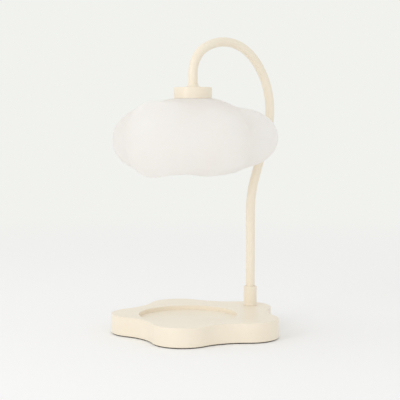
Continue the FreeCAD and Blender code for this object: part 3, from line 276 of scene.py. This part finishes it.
def makePlain(name):
    values = {**plain, **plainFinishes[name]}
    low, high = values["rough"]
    material, tree, shader = startMaterial(name, values["light"], low, values["metallic"])
    noise = addGrain(tree, values["patch"], values["detail"], values["stretch"])
    colourBetween(tree, shader, noise, values["dark"], values["light"])
    roughBetween(tree, shader, noise, low, high)
    bumpFrom(tree, shader, noise, values["depth"])
    return material


finishes = {"creamPaint": makeCreamPaint(), "frostGlass": makeFrostGlass()}
finishes.update({name: makePlain(name) for name in plainFinishes})
finishes["clearGlass"] = makeClearGlass()
print("materials made:", len(finishes))


# making pieces

def makePiece(bm, name, body, finish, replaced, sharpAngle=shallowAngle):
    bmesh.ops.recalc_face_normals(bm, faces=bm.faces[:])
    mesh = bpy.data.meshes.new(name)
    bm.to_mesh(mesh)
    bm.free()
    piece = bpy.data.objects.new(name, mesh)
    scene.collection.objects.link(piece)
    smoothPiece(piece, finish, sharpAngle)
    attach(piece, body)
    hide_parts(*replaced)
    return piece


def smoothPiece(piece, finish, sharpAngle=shallowAngle):
    mesh = piece.data
    mesh.materials.clear()
    mesh.materials.append(finishes[finish])
    for face in mesh.polygons:
        face.use_smooth = True
    mesh.set_sharp_from_angle(angle=math.radians(sharpAngle))
    if "flatFirst" not in piece.modifiers:  # keeps big flats flat beside small rounds
        weighted = piece.modifiers.new("flatFirst", "WEIGHTED_NORMAL")
        weighted.keep_sharp = True


def softenEdges(bm, edges, width, segments=3):
    bmesh.ops.bevel(bm, geom=edges, offset=width * mm, offset_type="OFFSET", segments=segments,
                    profile=0.5, affect="EDGES", clamp_overlap=True, material=-1)


def latheShape(profile, middleY, steps):  # corners are (radius, height), or with a rounding too
    bm = bmesh.new()
    corners = [bm.verts.new((corner[0] * mm, 0, corner[1] * mm)) for corner in profile]
    for one, two in zip(corners, corners[1:] + corners[:1]):
        bm.edges.new((one, two))
    bmesh.ops.spin(bm, geom=bm.verts[:] + bm.edges[:], cent=(0, 0, 0), axis=(0, 0, 1),
                   angle=math.tau, steps=steps, use_merge=True)
    bmesh.ops.remove_doubles(bm, verts=bm.verts[:], dist=mergeGap * mm)
    bmesh.ops.recalc_face_normals(bm, faces=bm.faces[:])
    for corner in profile:
        if len(corner) == 3:
            softenEdges(bm, ringEdges(bm, corner[0], corner[1]), corner[2])
    bmesh.ops.translate(bm, verts=bm.verts[:], vec=(0, middleY * mm, 0))
    return bm


def ringEdges(bm, radius, height, slack=0.02):  # edges that lie level on one ring round the Z axis
    def onRing(vert):
        reach = math.hypot(vert.co.x, vert.co.y)
        return abs(reach - radius * mm) < slack * mm and abs(vert.co.z - height * mm) < slack * mm
    return [edge for edge in bm.edges if all(onRing(vert) for vert in edge.verts)]


def rodShape(radius, start, finish, segments=64):  # a closed rod between two points
    bm = bmesh.new()
    start, finish = Vector(start) * mm, Vector(finish) * mm
    along = finish - start
    turned = along.to_track_quat("Z", "Y").to_matrix().to_4x4()
    bmesh.ops.create_cone(bm, cap_ends=True, segments=segments, radius1=radius * mm,
                          radius2=radius * mm, depth=along.length,
                          matrix=Matrix.Translation((start + finish) / 2) @ turned)
    return bm


def newCircle(bm, radius, middleY, height, around):
    place = Matrix.Translation((0, middleY * mm, height * mm))
    made = bmesh.ops.create_circle(bm, segments=around, radius=radius * mm, matrix=place)
    verts = made["verts"]
    ring = set(verts)
    return verts, [edge for edge in bm.edges if all(vert in ring for vert in edge.verts)]


def extrudeRing(bm, edges):  # a new ring on the old one, still to be moved
    made = bmesh.ops.extrude_edge_only(bm, edges=edges)["geom"]
    verts = [item for item in made if isinstance(item, bmesh.types.BMVert)]
    ring = set(verts)
    return verts, [item for item in made if isinstance(item, bmesh.types.BMEdge) and
                   all(vert in ring for vert in item.verts)]


def carve(piece, bm):  # cuts a shape out of a piece
    mesh = bpy.data.meshes.new("cutter")
    bmesh.ops.recalc_face_normals(bm, faces=bm.faces[:])
    bm.to_mesh(mesh)
    bm.free()
    cutter = bpy.data.objects.new("cutter", mesh)
    scene.collection.objects.link(cutter)
    piece.modifiers.clear()
    cut = piece.modifiers.new("carve", "BOOLEAN")
    cut.operation = "DIFFERENCE"
    cut.solver = "EXACT"
    cut.object = cutter
    shown = piece.evaluated_get(bpy.context.evaluated_depsgraph_get())
    made = bpy.data.meshes.new_from_object(shown)
    piece.modifiers.clear()
    bm = bmesh.new()
    bm.from_mesh(made)
    bmesh.ops.remove_doubles(bm, verts=bm.verts[:], dist=crumb * mm)
    bmesh.ops.dissolve_degenerate(bm, edges=bm.edges[:], dist=crumb * mm)
    bm.to_mesh(made)
    bm.free()
    piece.data = made
    bpy.data.objects.remove(cutter)


# flower base

flowerBase = {
    "lobes": 5,
    "middleY": 14.5,  # middle of the flower behind the middle of the recess
    "lobeRing": 61.0,
    "lobeRound": 32.5,
    "hollowRound": 58.6,
    "around": 300,  # points along the outline
    "edgeInset": 0.03,  # keeps the paint just inside the solid's outline
    "foot": 1.2,
    "footEdge": 0.5,
    "footSteps": 3,
    "top": 21.2,
    "topEdge": 1.0,
    "topSteps": 5,
    "recessRound": 52.0,
    "recessFloor": 16.7,
    "recessEdge": 0.8,
    "recessSteps": 4,
    "coverInset": 2.0,
    "coverTop": 3.2,
    "wallInset": 4.5,
    "roof": 14.0,
    "cordHole": 4.15,
    "cordHoleHeight": 8.8,
    "cordFlat": 5.85,
    "cordFlatY": 107.3,
    "cordCutEnd": 130.0,  # behind the back edge
    "collarHole": 5.05,
    "collarCutOver": 2.0,
    "wiringRound": 20.0,
    "wiringY": 78.5,
    "wiringRoof": 17.2,
    "wiringAround": 96,
    "wiringOver": 0.01,  # the cut starts this far above the cover
    "padInset": 1.5,
    "padEdge": 0.3,
    "padSteps": 2,
}


def flowerReach(direction, inset):  # from the flower's middle to its outline, moved in by an inset
    values = flowerBase
    half = math.pi / values["lobes"]
    ring = values["lobeRing"]
    lobe, hollow = values["lobeRound"] - inset, values["hollowRound"] + inset
    # a hollow round touches its two lobes, so its middle is this far out
    far = ring * math.cos(half) + math.sqrt((lobe + hollow) ** 2 - (ring * math.sin(half)) ** 2)
    turn = (direction - math.pi / 2 + half) % (2 * half) - half
    share = lobe / (lobe + hollow)
    touch = math.atan2(far * math.sin(half) * share, ring + (far * math.cos(half) - ring) * share)
    if abs(turn) < touch:
        return ring * math.cos(turn) + math.sqrt(lobe ** 2 - (ring * math.sin(turn)) ** 2)
    turn = half - abs(turn)
    return far * math.cos(turn) - math.sqrt(hollow ** 2 - (far * math.sin(turn)) ** 2)


def flowerRing(verts, inset, height):  # moves a ring of points on to the outline
    middle = flowerBase["middleY"] * mm
    for vert in verts:
        direction = math.atan2(vert.co.y - middle, vert.co.x)
        reach = flowerReach(direction, inset) * mm
        vert.co = (reach * math.cos(direction), middle + reach * math.sin(direction), height * mm)


def makeFlowerBase():
    values = flowerBase
    foot, top, around = values["foot"], values["top"], values["around"]
    bm = bmesh.new()
    footVerts, footEdges = newCircle(bm, values["lobeRing"], values["middleY"], foot, around)
    flowerRing(footVerts, values["edgeInset"], foot)
    topVerts, topEdges = extrudeRing(bm, footEdges)
    flowerRing(topVerts, values["edgeInset"], top)
    _, rimEdges = newCircle(bm, values["recessRound"], 0, top, around)
    bmesh.ops.bridge_loops(bm, edges=topEdges + rimEdges)
    floorVerts, floorEdges = extrudeRing(bm, rimEdges)
    for vert in floorVerts:
        vert.co.z = values["recessFloor"] * mm
    bmesh.ops.edgeloop_fill(bm, edges=floorEdges)
    edges = footEdges  # the underside steps in for the cover and up the hollow to its roof
    for inset, height in (("coverInset", "foot"), ("coverInset", "coverTop"),
                          ("wallInset", "coverTop"), ("wallInset", "roof")):
        verts, edges = extrudeRing(bm, edges)
        flowerRing(verts, values[inset], values[height])
    bmesh.ops.edgeloop_fill(bm, edges=edges)
    bmesh.ops.recalc_face_normals(bm, faces=bm.faces[:])
    for edges, name in ((topEdges, "top"), (footEdges, "foot"), (rimEdges, "recess")):
        left = [edge for edge in edges if edge.is_valid]
        softenEdges(bm, left, values[name + "Edge"], values[name + "Steps"])
    piece = makePiece(bm, "flowerBase", "base", "creamPaint", ["base_body"])
    carveFlowerBase(piece)
    smoothPiece(piece, "creamPaint")


def carveFlowerBase(piece):
    values = flowerBase
    wiringY, cordZ = values["wiringY"], values["cordHoleHeight"]
    cordEnd = (0, values["cordCutEnd"], cordZ)
    cuts = [
        rodShape(values["wiringRound"], (0, wiringY, values["coverTop"] + values["wiringOver"]),
                 (0, wiringY, values["wiringRoof"]), values["wiringAround"]),
        rodShape(values["collarHole"], (0, swivelY, values["roof"]),
                 (0, swivelY, values["top"] + values["collarCutOver"])),
        rodShape(values["cordHole"], (0, swivelY, cordZ), cordEnd),
        rodShape(values["cordFlat"], (0, values["cordFlatY"], cordZ), cordEnd),
    ]
    for cut in cuts:
        carve(piece, cut)


def makeFootPad():
    values = flowerBase
    bm = bmesh.new()
    verts, edges = newCircle(bm, values["lobeRing"], values["middleY"], 0, values["around"])
    flowerRing(verts, values["padInset"], 0)
    bmesh.ops.edgeloop_fill(bm, edges=edges)
    topVerts, topEdges = extrudeRing(bm, edges)
    for vert in topVerts:
        vert.co.z = values["foot"] * mm
    bmesh.ops.edgeloop_fill(bm, edges=topEdges)
    softenEdges(bm, edges + topEdges, values["padEdge"], values["padSteps"])
    makePiece(bm, "footPad", "base", "darkFoam", ["foot_pad"])


makeFlowerBase()
makeFootPad()
print("base made")


# collar and stem

stemCollar = {
    "foot": 21.2,
    "footRound": 7.5,
    "footHigh": 1.4,
    "footEdge": 0.15,
    "round": 7.15,
    "ease": 0.4,
    "easeEdge": 0.3,
    "top": 42.5,
    "topEdge": 0.6,
    "socket": 5.25,
    "socketEdge": 0.2,
    "socketFloor": 26.0,
    "bore": 3.58,
    "boreEdge": 0.15,
    "shankRound": 5.0,
    "shankEnd": 11.0,
    "shankEdge": 0.3,
    "around": 128,
    "slotHigh": 2.0,
    "slotUnder": 1.0,  # the slot's cut starts this far below the shank
    "slotReach": 12.0,
    "slotTurn": 58.0,  # each way, the stop plus half the pin
    "slotSteps": 24,
}


def makeStemCollar():
    values = stemCollar
    step = values["foot"] + values["footHigh"]
    bm = latheShape([
        (values["bore"], values["shankEnd"], values["boreEdge"]),
        (values["shankRound"], values["shankEnd"], values["shankEdge"]),
        (values["shankRound"], values["foot"]),
        (values["footRound"], values["foot"], values["footEdge"]),
        (values["footRound"], step, values["easeEdge"]),
        (values["round"], step + values["ease"]),
        (values["round"], values["top"], values["topEdge"]),
        (values["socket"], values["top"], values["socketEdge"]),
        (values["socket"], values["socketFloor"]),
        (values["bore"], values["socketFloor"], values["boreEdge"]),
    ], swivelY, values["around"])
    piece = makePiece(bm, "stemCollar", "base", "creamPaint", ["stem_collar"])
    carve(piece, slotShape())
    smoothPiece(piece, "creamPaint")


def slotShape():  # slot for the stop pin, open towards the recess
    values = stemCollar
    turn = math.radians(values["slotTurn"])
    low = values["shankEnd"] - values["slotUnder"]
    bm = bmesh.new()
    ends = (0, 0, low * mm), (0, -values["slotReach"] * mm, low * mm)
    bm.edges.new([bm.verts.new(end) for end in ends])
    bmesh.ops.rotate(bm, verts=bm.verts[:], cent=(0, 0, 0), matrix=Matrix.Rotation(-turn, 3, "Z"))
    bmesh.ops.spin(bm, geom=bm.verts[:] + bm.edges[:], cent=(0, 0, 0), axis=(0, 0, 1),
                   angle=2 * turn, steps=values["slotSteps"])
    bmesh.ops.remove_doubles(bm, verts=bm.verts[:], dist=mergeGap * mm)
    high = (values["slotHigh"] + values["slotUnder"]) * mm
    bmesh.ops.solidify(bm, geom=bm.faces[:], thickness=high)
    lowest = min(vert.co.z for vert in bm.verts)
    bmesh.ops.translate(bm, verts=bm.verts[:], vec=(0, swivelY * mm, low * mm - lowest))
    return bm


stemTube = {
    "round": 4.97,
    "wall": 1.0,
    "foot": 26.88,
    "bendStart": 127.0,
    "leanRound": 104.0,
    "leanTurn": 20.3,
    "leanRun": 48.9,
    "shoulderRound": 79.2,
    "shoulderTurn": 67.2,
    "crownTurn": 70.3,
    "dropRound": 31.8,
    "end": 252.5,
    "around": 56,
    "bendStep": 2.5,  # turn of each facet of a bend
    "leastSteps": 4,
    "sharpAngle": 50,
}


def makeStemTube():
    values = stemTube
    turns = [math.radians(values[key]) for key in ("leanTurn", "shoulderTurn", "crownTurn")]
    lean, shoulder, crown = turns
    rise, over = shoulder - lean, shoulder - lean + crown
    # the crown closes the way from the stem's foot to the shade's axis
    reach = swivelY - shadeY + values["leanRound"] * (1 - math.cos(lean))
    reach += values["leanRun"] * math.sin(lean)
    reach += values["shoulderRound"] * (math.cos(rise) - math.cos(lean))
    reach -= values["dropRound"] * (1 + math.cos(over))
    crownRound = reach / (math.cos(rise) - math.cos(over))
    bm = bmesh.new()
    verts, edges = newCircle(bm, values["round"], swivelY, values["foot"], values["around"])
    spot, heading = Vector((0, swivelY, values["foot"])) * mm, 0.0  # heading leans towards +Y

    def goStraight(edges, length):
        nonlocal spot
        step = Vector((0, math.sin(heading), math.cos(heading))) * length * mm
        verts, edges = extrudeRing(bm, edges)
        bmesh.ops.translate(bm, verts=verts, vec=step)
        spot = spot + step
        return verts, edges

    def goRound(verts, edges, radius, turn):  # a positive turn leans further towards +Y
        nonlocal spot, heading
        side = math.copysign(1, turn)
        middle = spot + Vector((0, math.cos(heading), -math.sin(heading))) * radius * side * mm
        steps = max(values["leastSteps"], round(math.degrees(abs(turn)) / values["bendStep"]))
        made = bmesh.ops.spin(bm, geom=verts + edges, cent=middle, axis=(-1, 0, 0), angle=turn,
                              steps=steps)
        last = made["geom_last"]
        spot = middle + Matrix.Rotation(-turn, 3, "X") @ (spot - middle)
        heading += turn
        return ([item for item in last if isinstance(item, bmesh.types.BMVert)],
                [item for item in last if isinstance(item, bmesh.types.BMEdge)])

    verts, edges = goStraight(edges, values["bendStart"] - values["foot"])
    verts, edges = goRound(verts, edges, values["leanRound"], lean)
    verts, edges = goStraight(edges, values["leanRun"])
    verts, edges = goRound(verts, edges, values["shoulderRound"], -shoulder)
    verts, edges = goRound(verts, edges, crownRound, -crown)
    verts, edges = goRound(verts, edges, values["dropRound"], over - math.pi)
    goStraight(edges, spot.z / mm - values["end"])
    bmesh.ops.remove_doubles(bm, verts=bm.verts[:], dist=mergeGap * mm)
    bmesh.ops.recalc_face_normals(bm, faces=bm.faces[:])
    bmesh.ops.solidify(bm, geom=bm.faces[:], thickness=values["wall"] * mm)
    makePiece(bm, "stemTube", "stem", "creamPaint", ["stem_tube"],
              values["sharpAngle"])


makeStemCollar()
makeStemTube()
print("stem made")


# shade cap

shadeCap = {
    "round": 20.1,
    "foot": 249.0,
    "footEdge": 0.25,
    "top": 261.0,
    "topEdge": 0.7,
    "wall": 1.6,
    "innerEdge": 0.15,
    "roofEdge": 0.6,
    "bore": 5.05,
    "around": 160,
    "flareRound": 7.75,
    "flareRim": 0.6,
    "flareHigh": 4.0,
    "flareLip": 0.5,
    "flareSteps": 8,
    "flareAround": 96,
}


def makeShadeCap():
    values = shadeCap
    inner, roof = values["round"] - values["wall"], values["top"] - values["wall"]
    bm = latheShape([
        (values["bore"], roof),
        (inner, roof, values["roofEdge"]),
        (inner, values["foot"], values["innerEdge"]),
        (values["round"], values["foot"], values["footEdge"]),
        (values["round"], values["top"], values["topEdge"]),
        (values["bore"], values["top"]),
    ], shadeY, values["around"])
    makePiece(bm, "shadeCap", "stem", "creamPaint", ["shade_cap"])


def makeCapFerrule():  # its side is a hollow round from its rim up to its lip
    values = shadeCap
    rim, lip = values["top"] + values["flareRim"], values["top"] + values["flareHigh"]
    wide, thin = values["flareRound"], values["bore"] + values["flareLip"]
    profile = [(values["bore"], values["top"]), (wide, values["top"])]
    for step in range(values["flareSteps"] + 1):
        turn = math.radians(90) * step / values["flareSteps"]
        profile.append((wide - (wide - thin) * math.sin(turn),
                        rim + (lip - rim) * (1 - math.cos(turn))))
    profile.append((values["bore"], lip))
    bm = latheShape(profile, shadeY, values["flareAround"])
    makePiece(bm, "capFerrule", "stem", "creamPaint", ["cap_ferrule"])


makeShadeCap()
makeCapFerrule()
print("cap made")


# glass cloud

glassCloud = {
    "middle": 201.5,  # height of the middle of the form
    "lobes": [  # direction, distance out, half width, half height, rise of its middle
        (-139.3, 53.4, 33.1, 29.1, 3.9),
        (-118.0, 40.0, 27.0, 31.0, 7.0),  # a shallow one that fills the crease beside it
        (-83.8, 56.6, 27.0, 38.2, 4.9),
        (-68.3, 51.4, 33.8, 33.8, 6.0),
        (-15.6, 47.8, 36.9, 31.1, 3.1),
        (49.6, 56.7, 33.4, 28.1, 6.4),
        (104.0, 49.0, 35.0, 33.0, 0.0),
        (159.0, 49.0, 35.0, 33.0, 0.0),
    ],
    "skin": 0.05,  # keeps the glass just inside the solid's outline
    "core": 65.2,  # half width of the plain form between the lobes
    "up": 45.8,
    "down": 35.4,
    "square": 2.74,  # 2 is an ellipse, more is fuller
    "blend": 8.0,  # softness of the creases
    "seat": 249.0,  # flat seat under the cap
    "seatRound": 22.0,
    "seatFade": 46.0,  # the form is raised to meet the seat out to this radius
    "neckRound": 15.6,
    "mouthRound": 44.0,
    "rows": 66,
    "around": 240,
    "topSearch": (80.0, 30.0),  # lifts between which the form reaches the seat's radius
    "mouthSearch": (-75.0, -15.0),  # and the mouth's
    "halvings": 24,
    "wall": 3.0,
    "easing": 10,  # passes that soften the creases
    "easingShare": 0.5,
    "easingGap": 0.5,  # the passes start this far outside the seat
    "lip": 0.9,  # fire-polished edges of the mouth and the neck
    "lipSteps": 4,
    "lipAngle": 50,
    "sharpAngle": 60,
}


def cloudPoint(turn, lift):  # a point of the form, from the middle of the shade's axis
    values = glassCloud
    flat, high = math.cos(lift), math.sin(lift)
    way = Vector((flat * math.cos(turn), flat * math.sin(turn), high))
    tall = values["up"] if high >= 0 else values["down"]
    power = values["square"]
    core = abs(flat / values["core"]) ** power + abs(high / tall) ** power
    reaches = [core ** (-1 / power)]
    for side, away, half, halfHigh, rise in values["lobes"]:
        side = math.radians(side)
        squash = Vector((1 / half, 1 / half, 1 / halfHigh))  # makes the lobe a ball of radius 1
        middle = Vector((away * math.cos(side), away * math.sin(side), rise)) * squash
        ray = way * squash
        inside = ray.dot(middle) ** 2 - ray.dot(ray) * (middle.dot(middle) - 1)
        root = math.copysign(math.sqrt(abs(inside)), inside)  # goes on smoothly past the lobe
        reaches.append((ray.dot(middle) + root) / ray.dot(ray))
    longest = max(reaches)
    blended = sum(math.exp((reach - longest) / values["blend"]) for reach in reaches)
    return way * (longest + values["blend"] * math.log(blended) - values["skin"])


def liftAtRadius(turn, radius, search):  # where the form has this radius
    inside, outside = [math.radians(lift) for lift in search]
    for _ in range(glassCloud["halvings"]):
        lift = (inside + outside) / 2
        if cloudPoint(turn, lift).to_2d().length > radius:
            outside = lift
        else:
            inside = lift
    return lift


def makeGlassCloud():
    values = glassCloud
    bm = bmesh.new()
    verts, edges = newCircle(bm, values["neckRound"], 0, values["seat"], values["around"])
    turns = [math.atan2(vert.co.y, vert.co.x) for vert in verts]
    tops = [liftAtRadius(turn, values["seatRound"], values["topSearch"]) for turn in turns]
    lows = [liftAtRadius(turn, values["mouthRound"], values["mouthSearch"]) for turn in turns]
    seatHigh = values["seat"] - values["middle"]
    rises = [seatHigh - cloudPoint(turn, top).z for turn, top in zip(turns, tops)]
    span = values["seatFade"] - values["seatRound"]
    for row in range(values["rows"] + 1):
        share = row / values["rows"]
        made, edges = extrudeRing(bm, edges)
        for vert in made:
            turn = math.atan2(vert.co.y, vert.co.x)
            k = min(range(len(turns)), key=lambda k: abs(math.remainder(turns[k] - turn, math.tau)))
            spot = cloudPoint(turns[k], tops[k] + (lows[k] - tops[k]) * share)
            fade = min(1, max(0, (spot.to_2d().length - values["seatRound"]) / span))
            if spot.z > 0:
                spot.z += rises[k] * (1 - fade * fade * (3 - 2 * fade))
            vert.co = (spot + Vector((0, 0, values["middle"]))) * mm
    bmesh.ops.remove_doubles(bm, verts=bm.verts[:], dist=mergeGap * mm)
    start = (values["seatRound"] + values["easingGap"]) * mm
    free = [vert for vert in bm.verts if not vert.is_boundary and vert.co.to_2d().length > start]
    for _ in range(values["easing"]):
        bmesh.ops.smooth_vert(bm, verts=free, factor=values["easingShare"], use_axis_x=True,
                              use_axis_y=True, use_axis_z=True)
    bmesh.ops.translate(bm, verts=bm.verts[:], vec=(0, shadeY * mm, 0))
    bmesh.ops.recalc_face_normals(bm, faces=bm.faces[:])
    bmesh.ops.solidify(bm, geom=bm.faces[:], thickness=values["wall"] * mm)
    lipAngle = math.radians(values["lipAngle"])
    corners = [edge for edge in bm.edges if edge.calc_face_angle(0) > lipAngle]
    softenEdges(bm, corners, values["lip"], values["lipSteps"])
    makePiece(bm, "glassCloud", "stem", "frostGlass", ["glass_shade"],
              values["sharpAngle"])


makeGlassCloud()
print("shade made")


# bulb capsule

bulbCapsule = {
    "round": 4.5,
    "foot": 195.4,
    "long": 24.0,
    "around": 64,
    "rows": 32,
}


def makeBulbCapsule():  # the lower half of a ball, drawn out upwards
    values = bulbCapsule
    radius = values["round"] * mm
    bm = bmesh.new()
    bmesh.ops.create_uvsphere(bm, u_segments=values["around"], v_segments=values["rows"],
                              radius=radius)
    upper = [vert for vert in bm.verts if vert.co.z > mergeGap * mm]
    bmesh.ops.delete(bm, geom=upper, context="VERTS")
    verts, edges = extrudeRing(bm, [edge for edge in bm.edges if edge.is_boundary])
    bmesh.ops.translate(bm, verts=verts, vec=(0, 0, values["long"] * mm - radius))
    bmesh.ops.edgeloop_fill(bm, edges=edges)
    middle = (0, shadeY * mm, values["foot"] * mm + radius)
    bmesh.ops.translate(bm, verts=bm.verts[:], vec=middle)
    makePiece(bm, "bulbCapsule", "bulb", "clearGlass", ["bulb_capsule"])


makeBulbCapsule()
print("capsule made")


# CAD nodes that stay get their finishes

kept = {
    "zincPlate": ["base_cover", "cover_screws", "weight_screws", "collar_nut", "collar_washer",
                  "socket_screws", "bulb_pins"],
    "blackCasting": ["counterweight"],
    "turnedBrass": ["swivel_spigot", "terminal_clamps", "socket_contacts"],
    "springSteel": ["friction_washer", "retaining_clip", "stop_pin", "star_washer"],
    "blackRubber": ["cord_grommet"],
    "paleSilicone": ["base_lead", "stem_lead", "shade_gasket"],
    "whiteCeramic": ["lamp_socket", "bulb_base"],
    "paleMoulding": ["holder_sleeve", "shade_ring"],
    "naturalNylon": ["terminal_block", "thrust_washer"],
    "mirrorCoat": ["bulb_reflector"],
    "clearGlass": ["bulb_lens"],
}
for finish, names in kept.items():
    for name in names:
        nodes[name].data.materials.clear()
        nodes[name].data.materials.append(finishes[finish])
print("finishes given to the CAD nodes")


# floor, background and light

stage = {
    "background": (241, 242, 238),
    "floor": (249, 249, 248),
    "floorHalf": 20000.0,
    "fadeStart": 350.0,  # the floor turns into the background between these distances
    "fadeEnd": 1500.0,
    "sky": 0.87,  # light from all round
    "skyColour": (255, 255, 255),
    "aim": (0, 20, 120),
    "lamps": [  # name, azimuth, height angle, distance, width, watts
        ("key", 7.0, 15.0, 1600.0, 900.0, 4.2),
        ("top", -40.0, 60.0, 1500.0, 1200.0, 0.9),
        ("fill", 58.0, 5.0, 1800.0, 1200.0, 2.0),
    ],
}


def seenDirectly(tree):  # 1 where the camera, a reflection or a clear piece looks at the surface
    path = tree.nodes.new("ShaderNodeLightPath")
    total = path.outputs["Is Camera Ray"]
    for name in ("Is Glossy Ray", "Is Transmission Ray"):
        add = tree.nodes.new("ShaderNodeMath")
        add.operation = "MAXIMUM"
        tree.links.new(total, add.inputs[0])
        tree.links.new(path.outputs[name], add.inputs[1])
        total = add.outputs["Value"]
    return total


def makeFloorMaterial():  # lit near the lamp and plain background far from it
    material = bpy.data.materials.new("floor")
    material.use_nodes = True
    tree = material.node_tree
    tree.nodes.clear()
    out = tree.nodes.new("ShaderNodeOutputMaterial")
    lit = tree.nodes.new("ShaderNodeBsdfDiffuse")
    lit.inputs["Color"].default_value = (*linear(*stage["floor"]), 1)
    unlit = tree.nodes.new("ShaderNodeEmission")
    unlit.inputs["Color"].default_value = (*linear(*stage["background"]), 1)
    coords = tree.nodes.new("ShaderNodeTexCoord")
    length = tree.nodes.new("ShaderNodeVectorMath")
    length.operation = "LENGTH"
    fade = tree.nodes.new("ShaderNodeMapRange")
    fade.interpolation_type = "SMOOTHSTEP"
    fade.inputs["From Min"].default_value = stage["fadeStart"] * mm
    fade.inputs["From Max"].default_value = stage["fadeEnd"] * mm
    both = tree.nodes.new("ShaderNodeMath")
    both.operation = "MULTIPLY"
    mix = tree.nodes.new("ShaderNodeMixShader")
    tree.links.new(coords.outputs["Object"], length.inputs[0])
    tree.links.new(length.outputs["Value"], fade.inputs["Value"])
    tree.links.new(fade.outputs["Result"], both.inputs[0])
    tree.links.new(seenDirectly(tree), both.inputs[1])
    tree.links.new(both.outputs["Value"], mix.inputs["Fac"])
    tree.links.new(lit.outputs["BSDF"], mix.inputs[1])
    tree.links.new(unlit.outputs["Emission"], mix.inputs[2])
    tree.links.new(mix.outputs["Shader"], out.inputs["Surface"])
    return material


def makeFloor():
    bm = bmesh.new()
    bmesh.ops.create_grid(bm, x_segments=1, y_segments=1, size=stage["floorHalf"] * mm)
    mesh = bpy.data.meshes.new("floor")
    bm.to_mesh(mesh)
    bm.free()
    mesh.materials.append(makeFloorMaterial())
    floor = bpy.data.objects.new("floor", mesh)
    scene.collection.objects.link(floor)


def makeWorld():
    world = bpy.data.worlds.new("surroundings")
    scene.world = world
    world.use_nodes = True
    tree = world.node_tree
    tree.nodes.clear()
    out = tree.nodes.new("ShaderNodeOutputWorld")
    sky = tree.nodes.new("ShaderNodeBackground")
    sky.inputs["Color"].default_value = (*linear(*stage["skyColour"]), 1)
    sky.inputs["Strength"].default_value = stage["sky"]
    seen = tree.nodes.new("ShaderNodeBackground")
    seen.inputs["Color"].default_value = (*linear(*stage["background"]), 1)
    mix = tree.nodes.new("ShaderNodeMixShader")
    tree.links.new(seenDirectly(tree), mix.inputs["Fac"])
    tree.links.new(sky.outputs["Background"], mix.inputs[1])
    tree.links.new(seen.outputs["Background"], mix.inputs[2])
    tree.links.new(mix.outputs["Shader"], out.inputs["Surface"])


def addLamps():
    target = Vector(stage["aim"]) * mm
    for name, azimuth, height, distance, width, watts in stage["lamps"]:
        data = bpy.data.lights.new(name, "AREA")
        data.shape = "DISK"
        data.size = width * mm
        data.energy = watts
        turn, rise = math.radians(azimuth), math.radians(height)
        level = math.cos(rise)
        back = Vector((math.sin(turn) * level, -math.cos(turn) * level, math.sin(rise)))
        lamp = bpy.data.objects.new(name, data)
        lamp.location = target + back * distance * mm
        lamp.rotation_euler = (-back).to_track_quat("-Z", "Y").to_euler()
        scene.collection.objects.link(lamp)


makeFloor()
makeWorld()
addLamps()
scene.view_settings.view_transform = "Standard"
print("stage and light made")
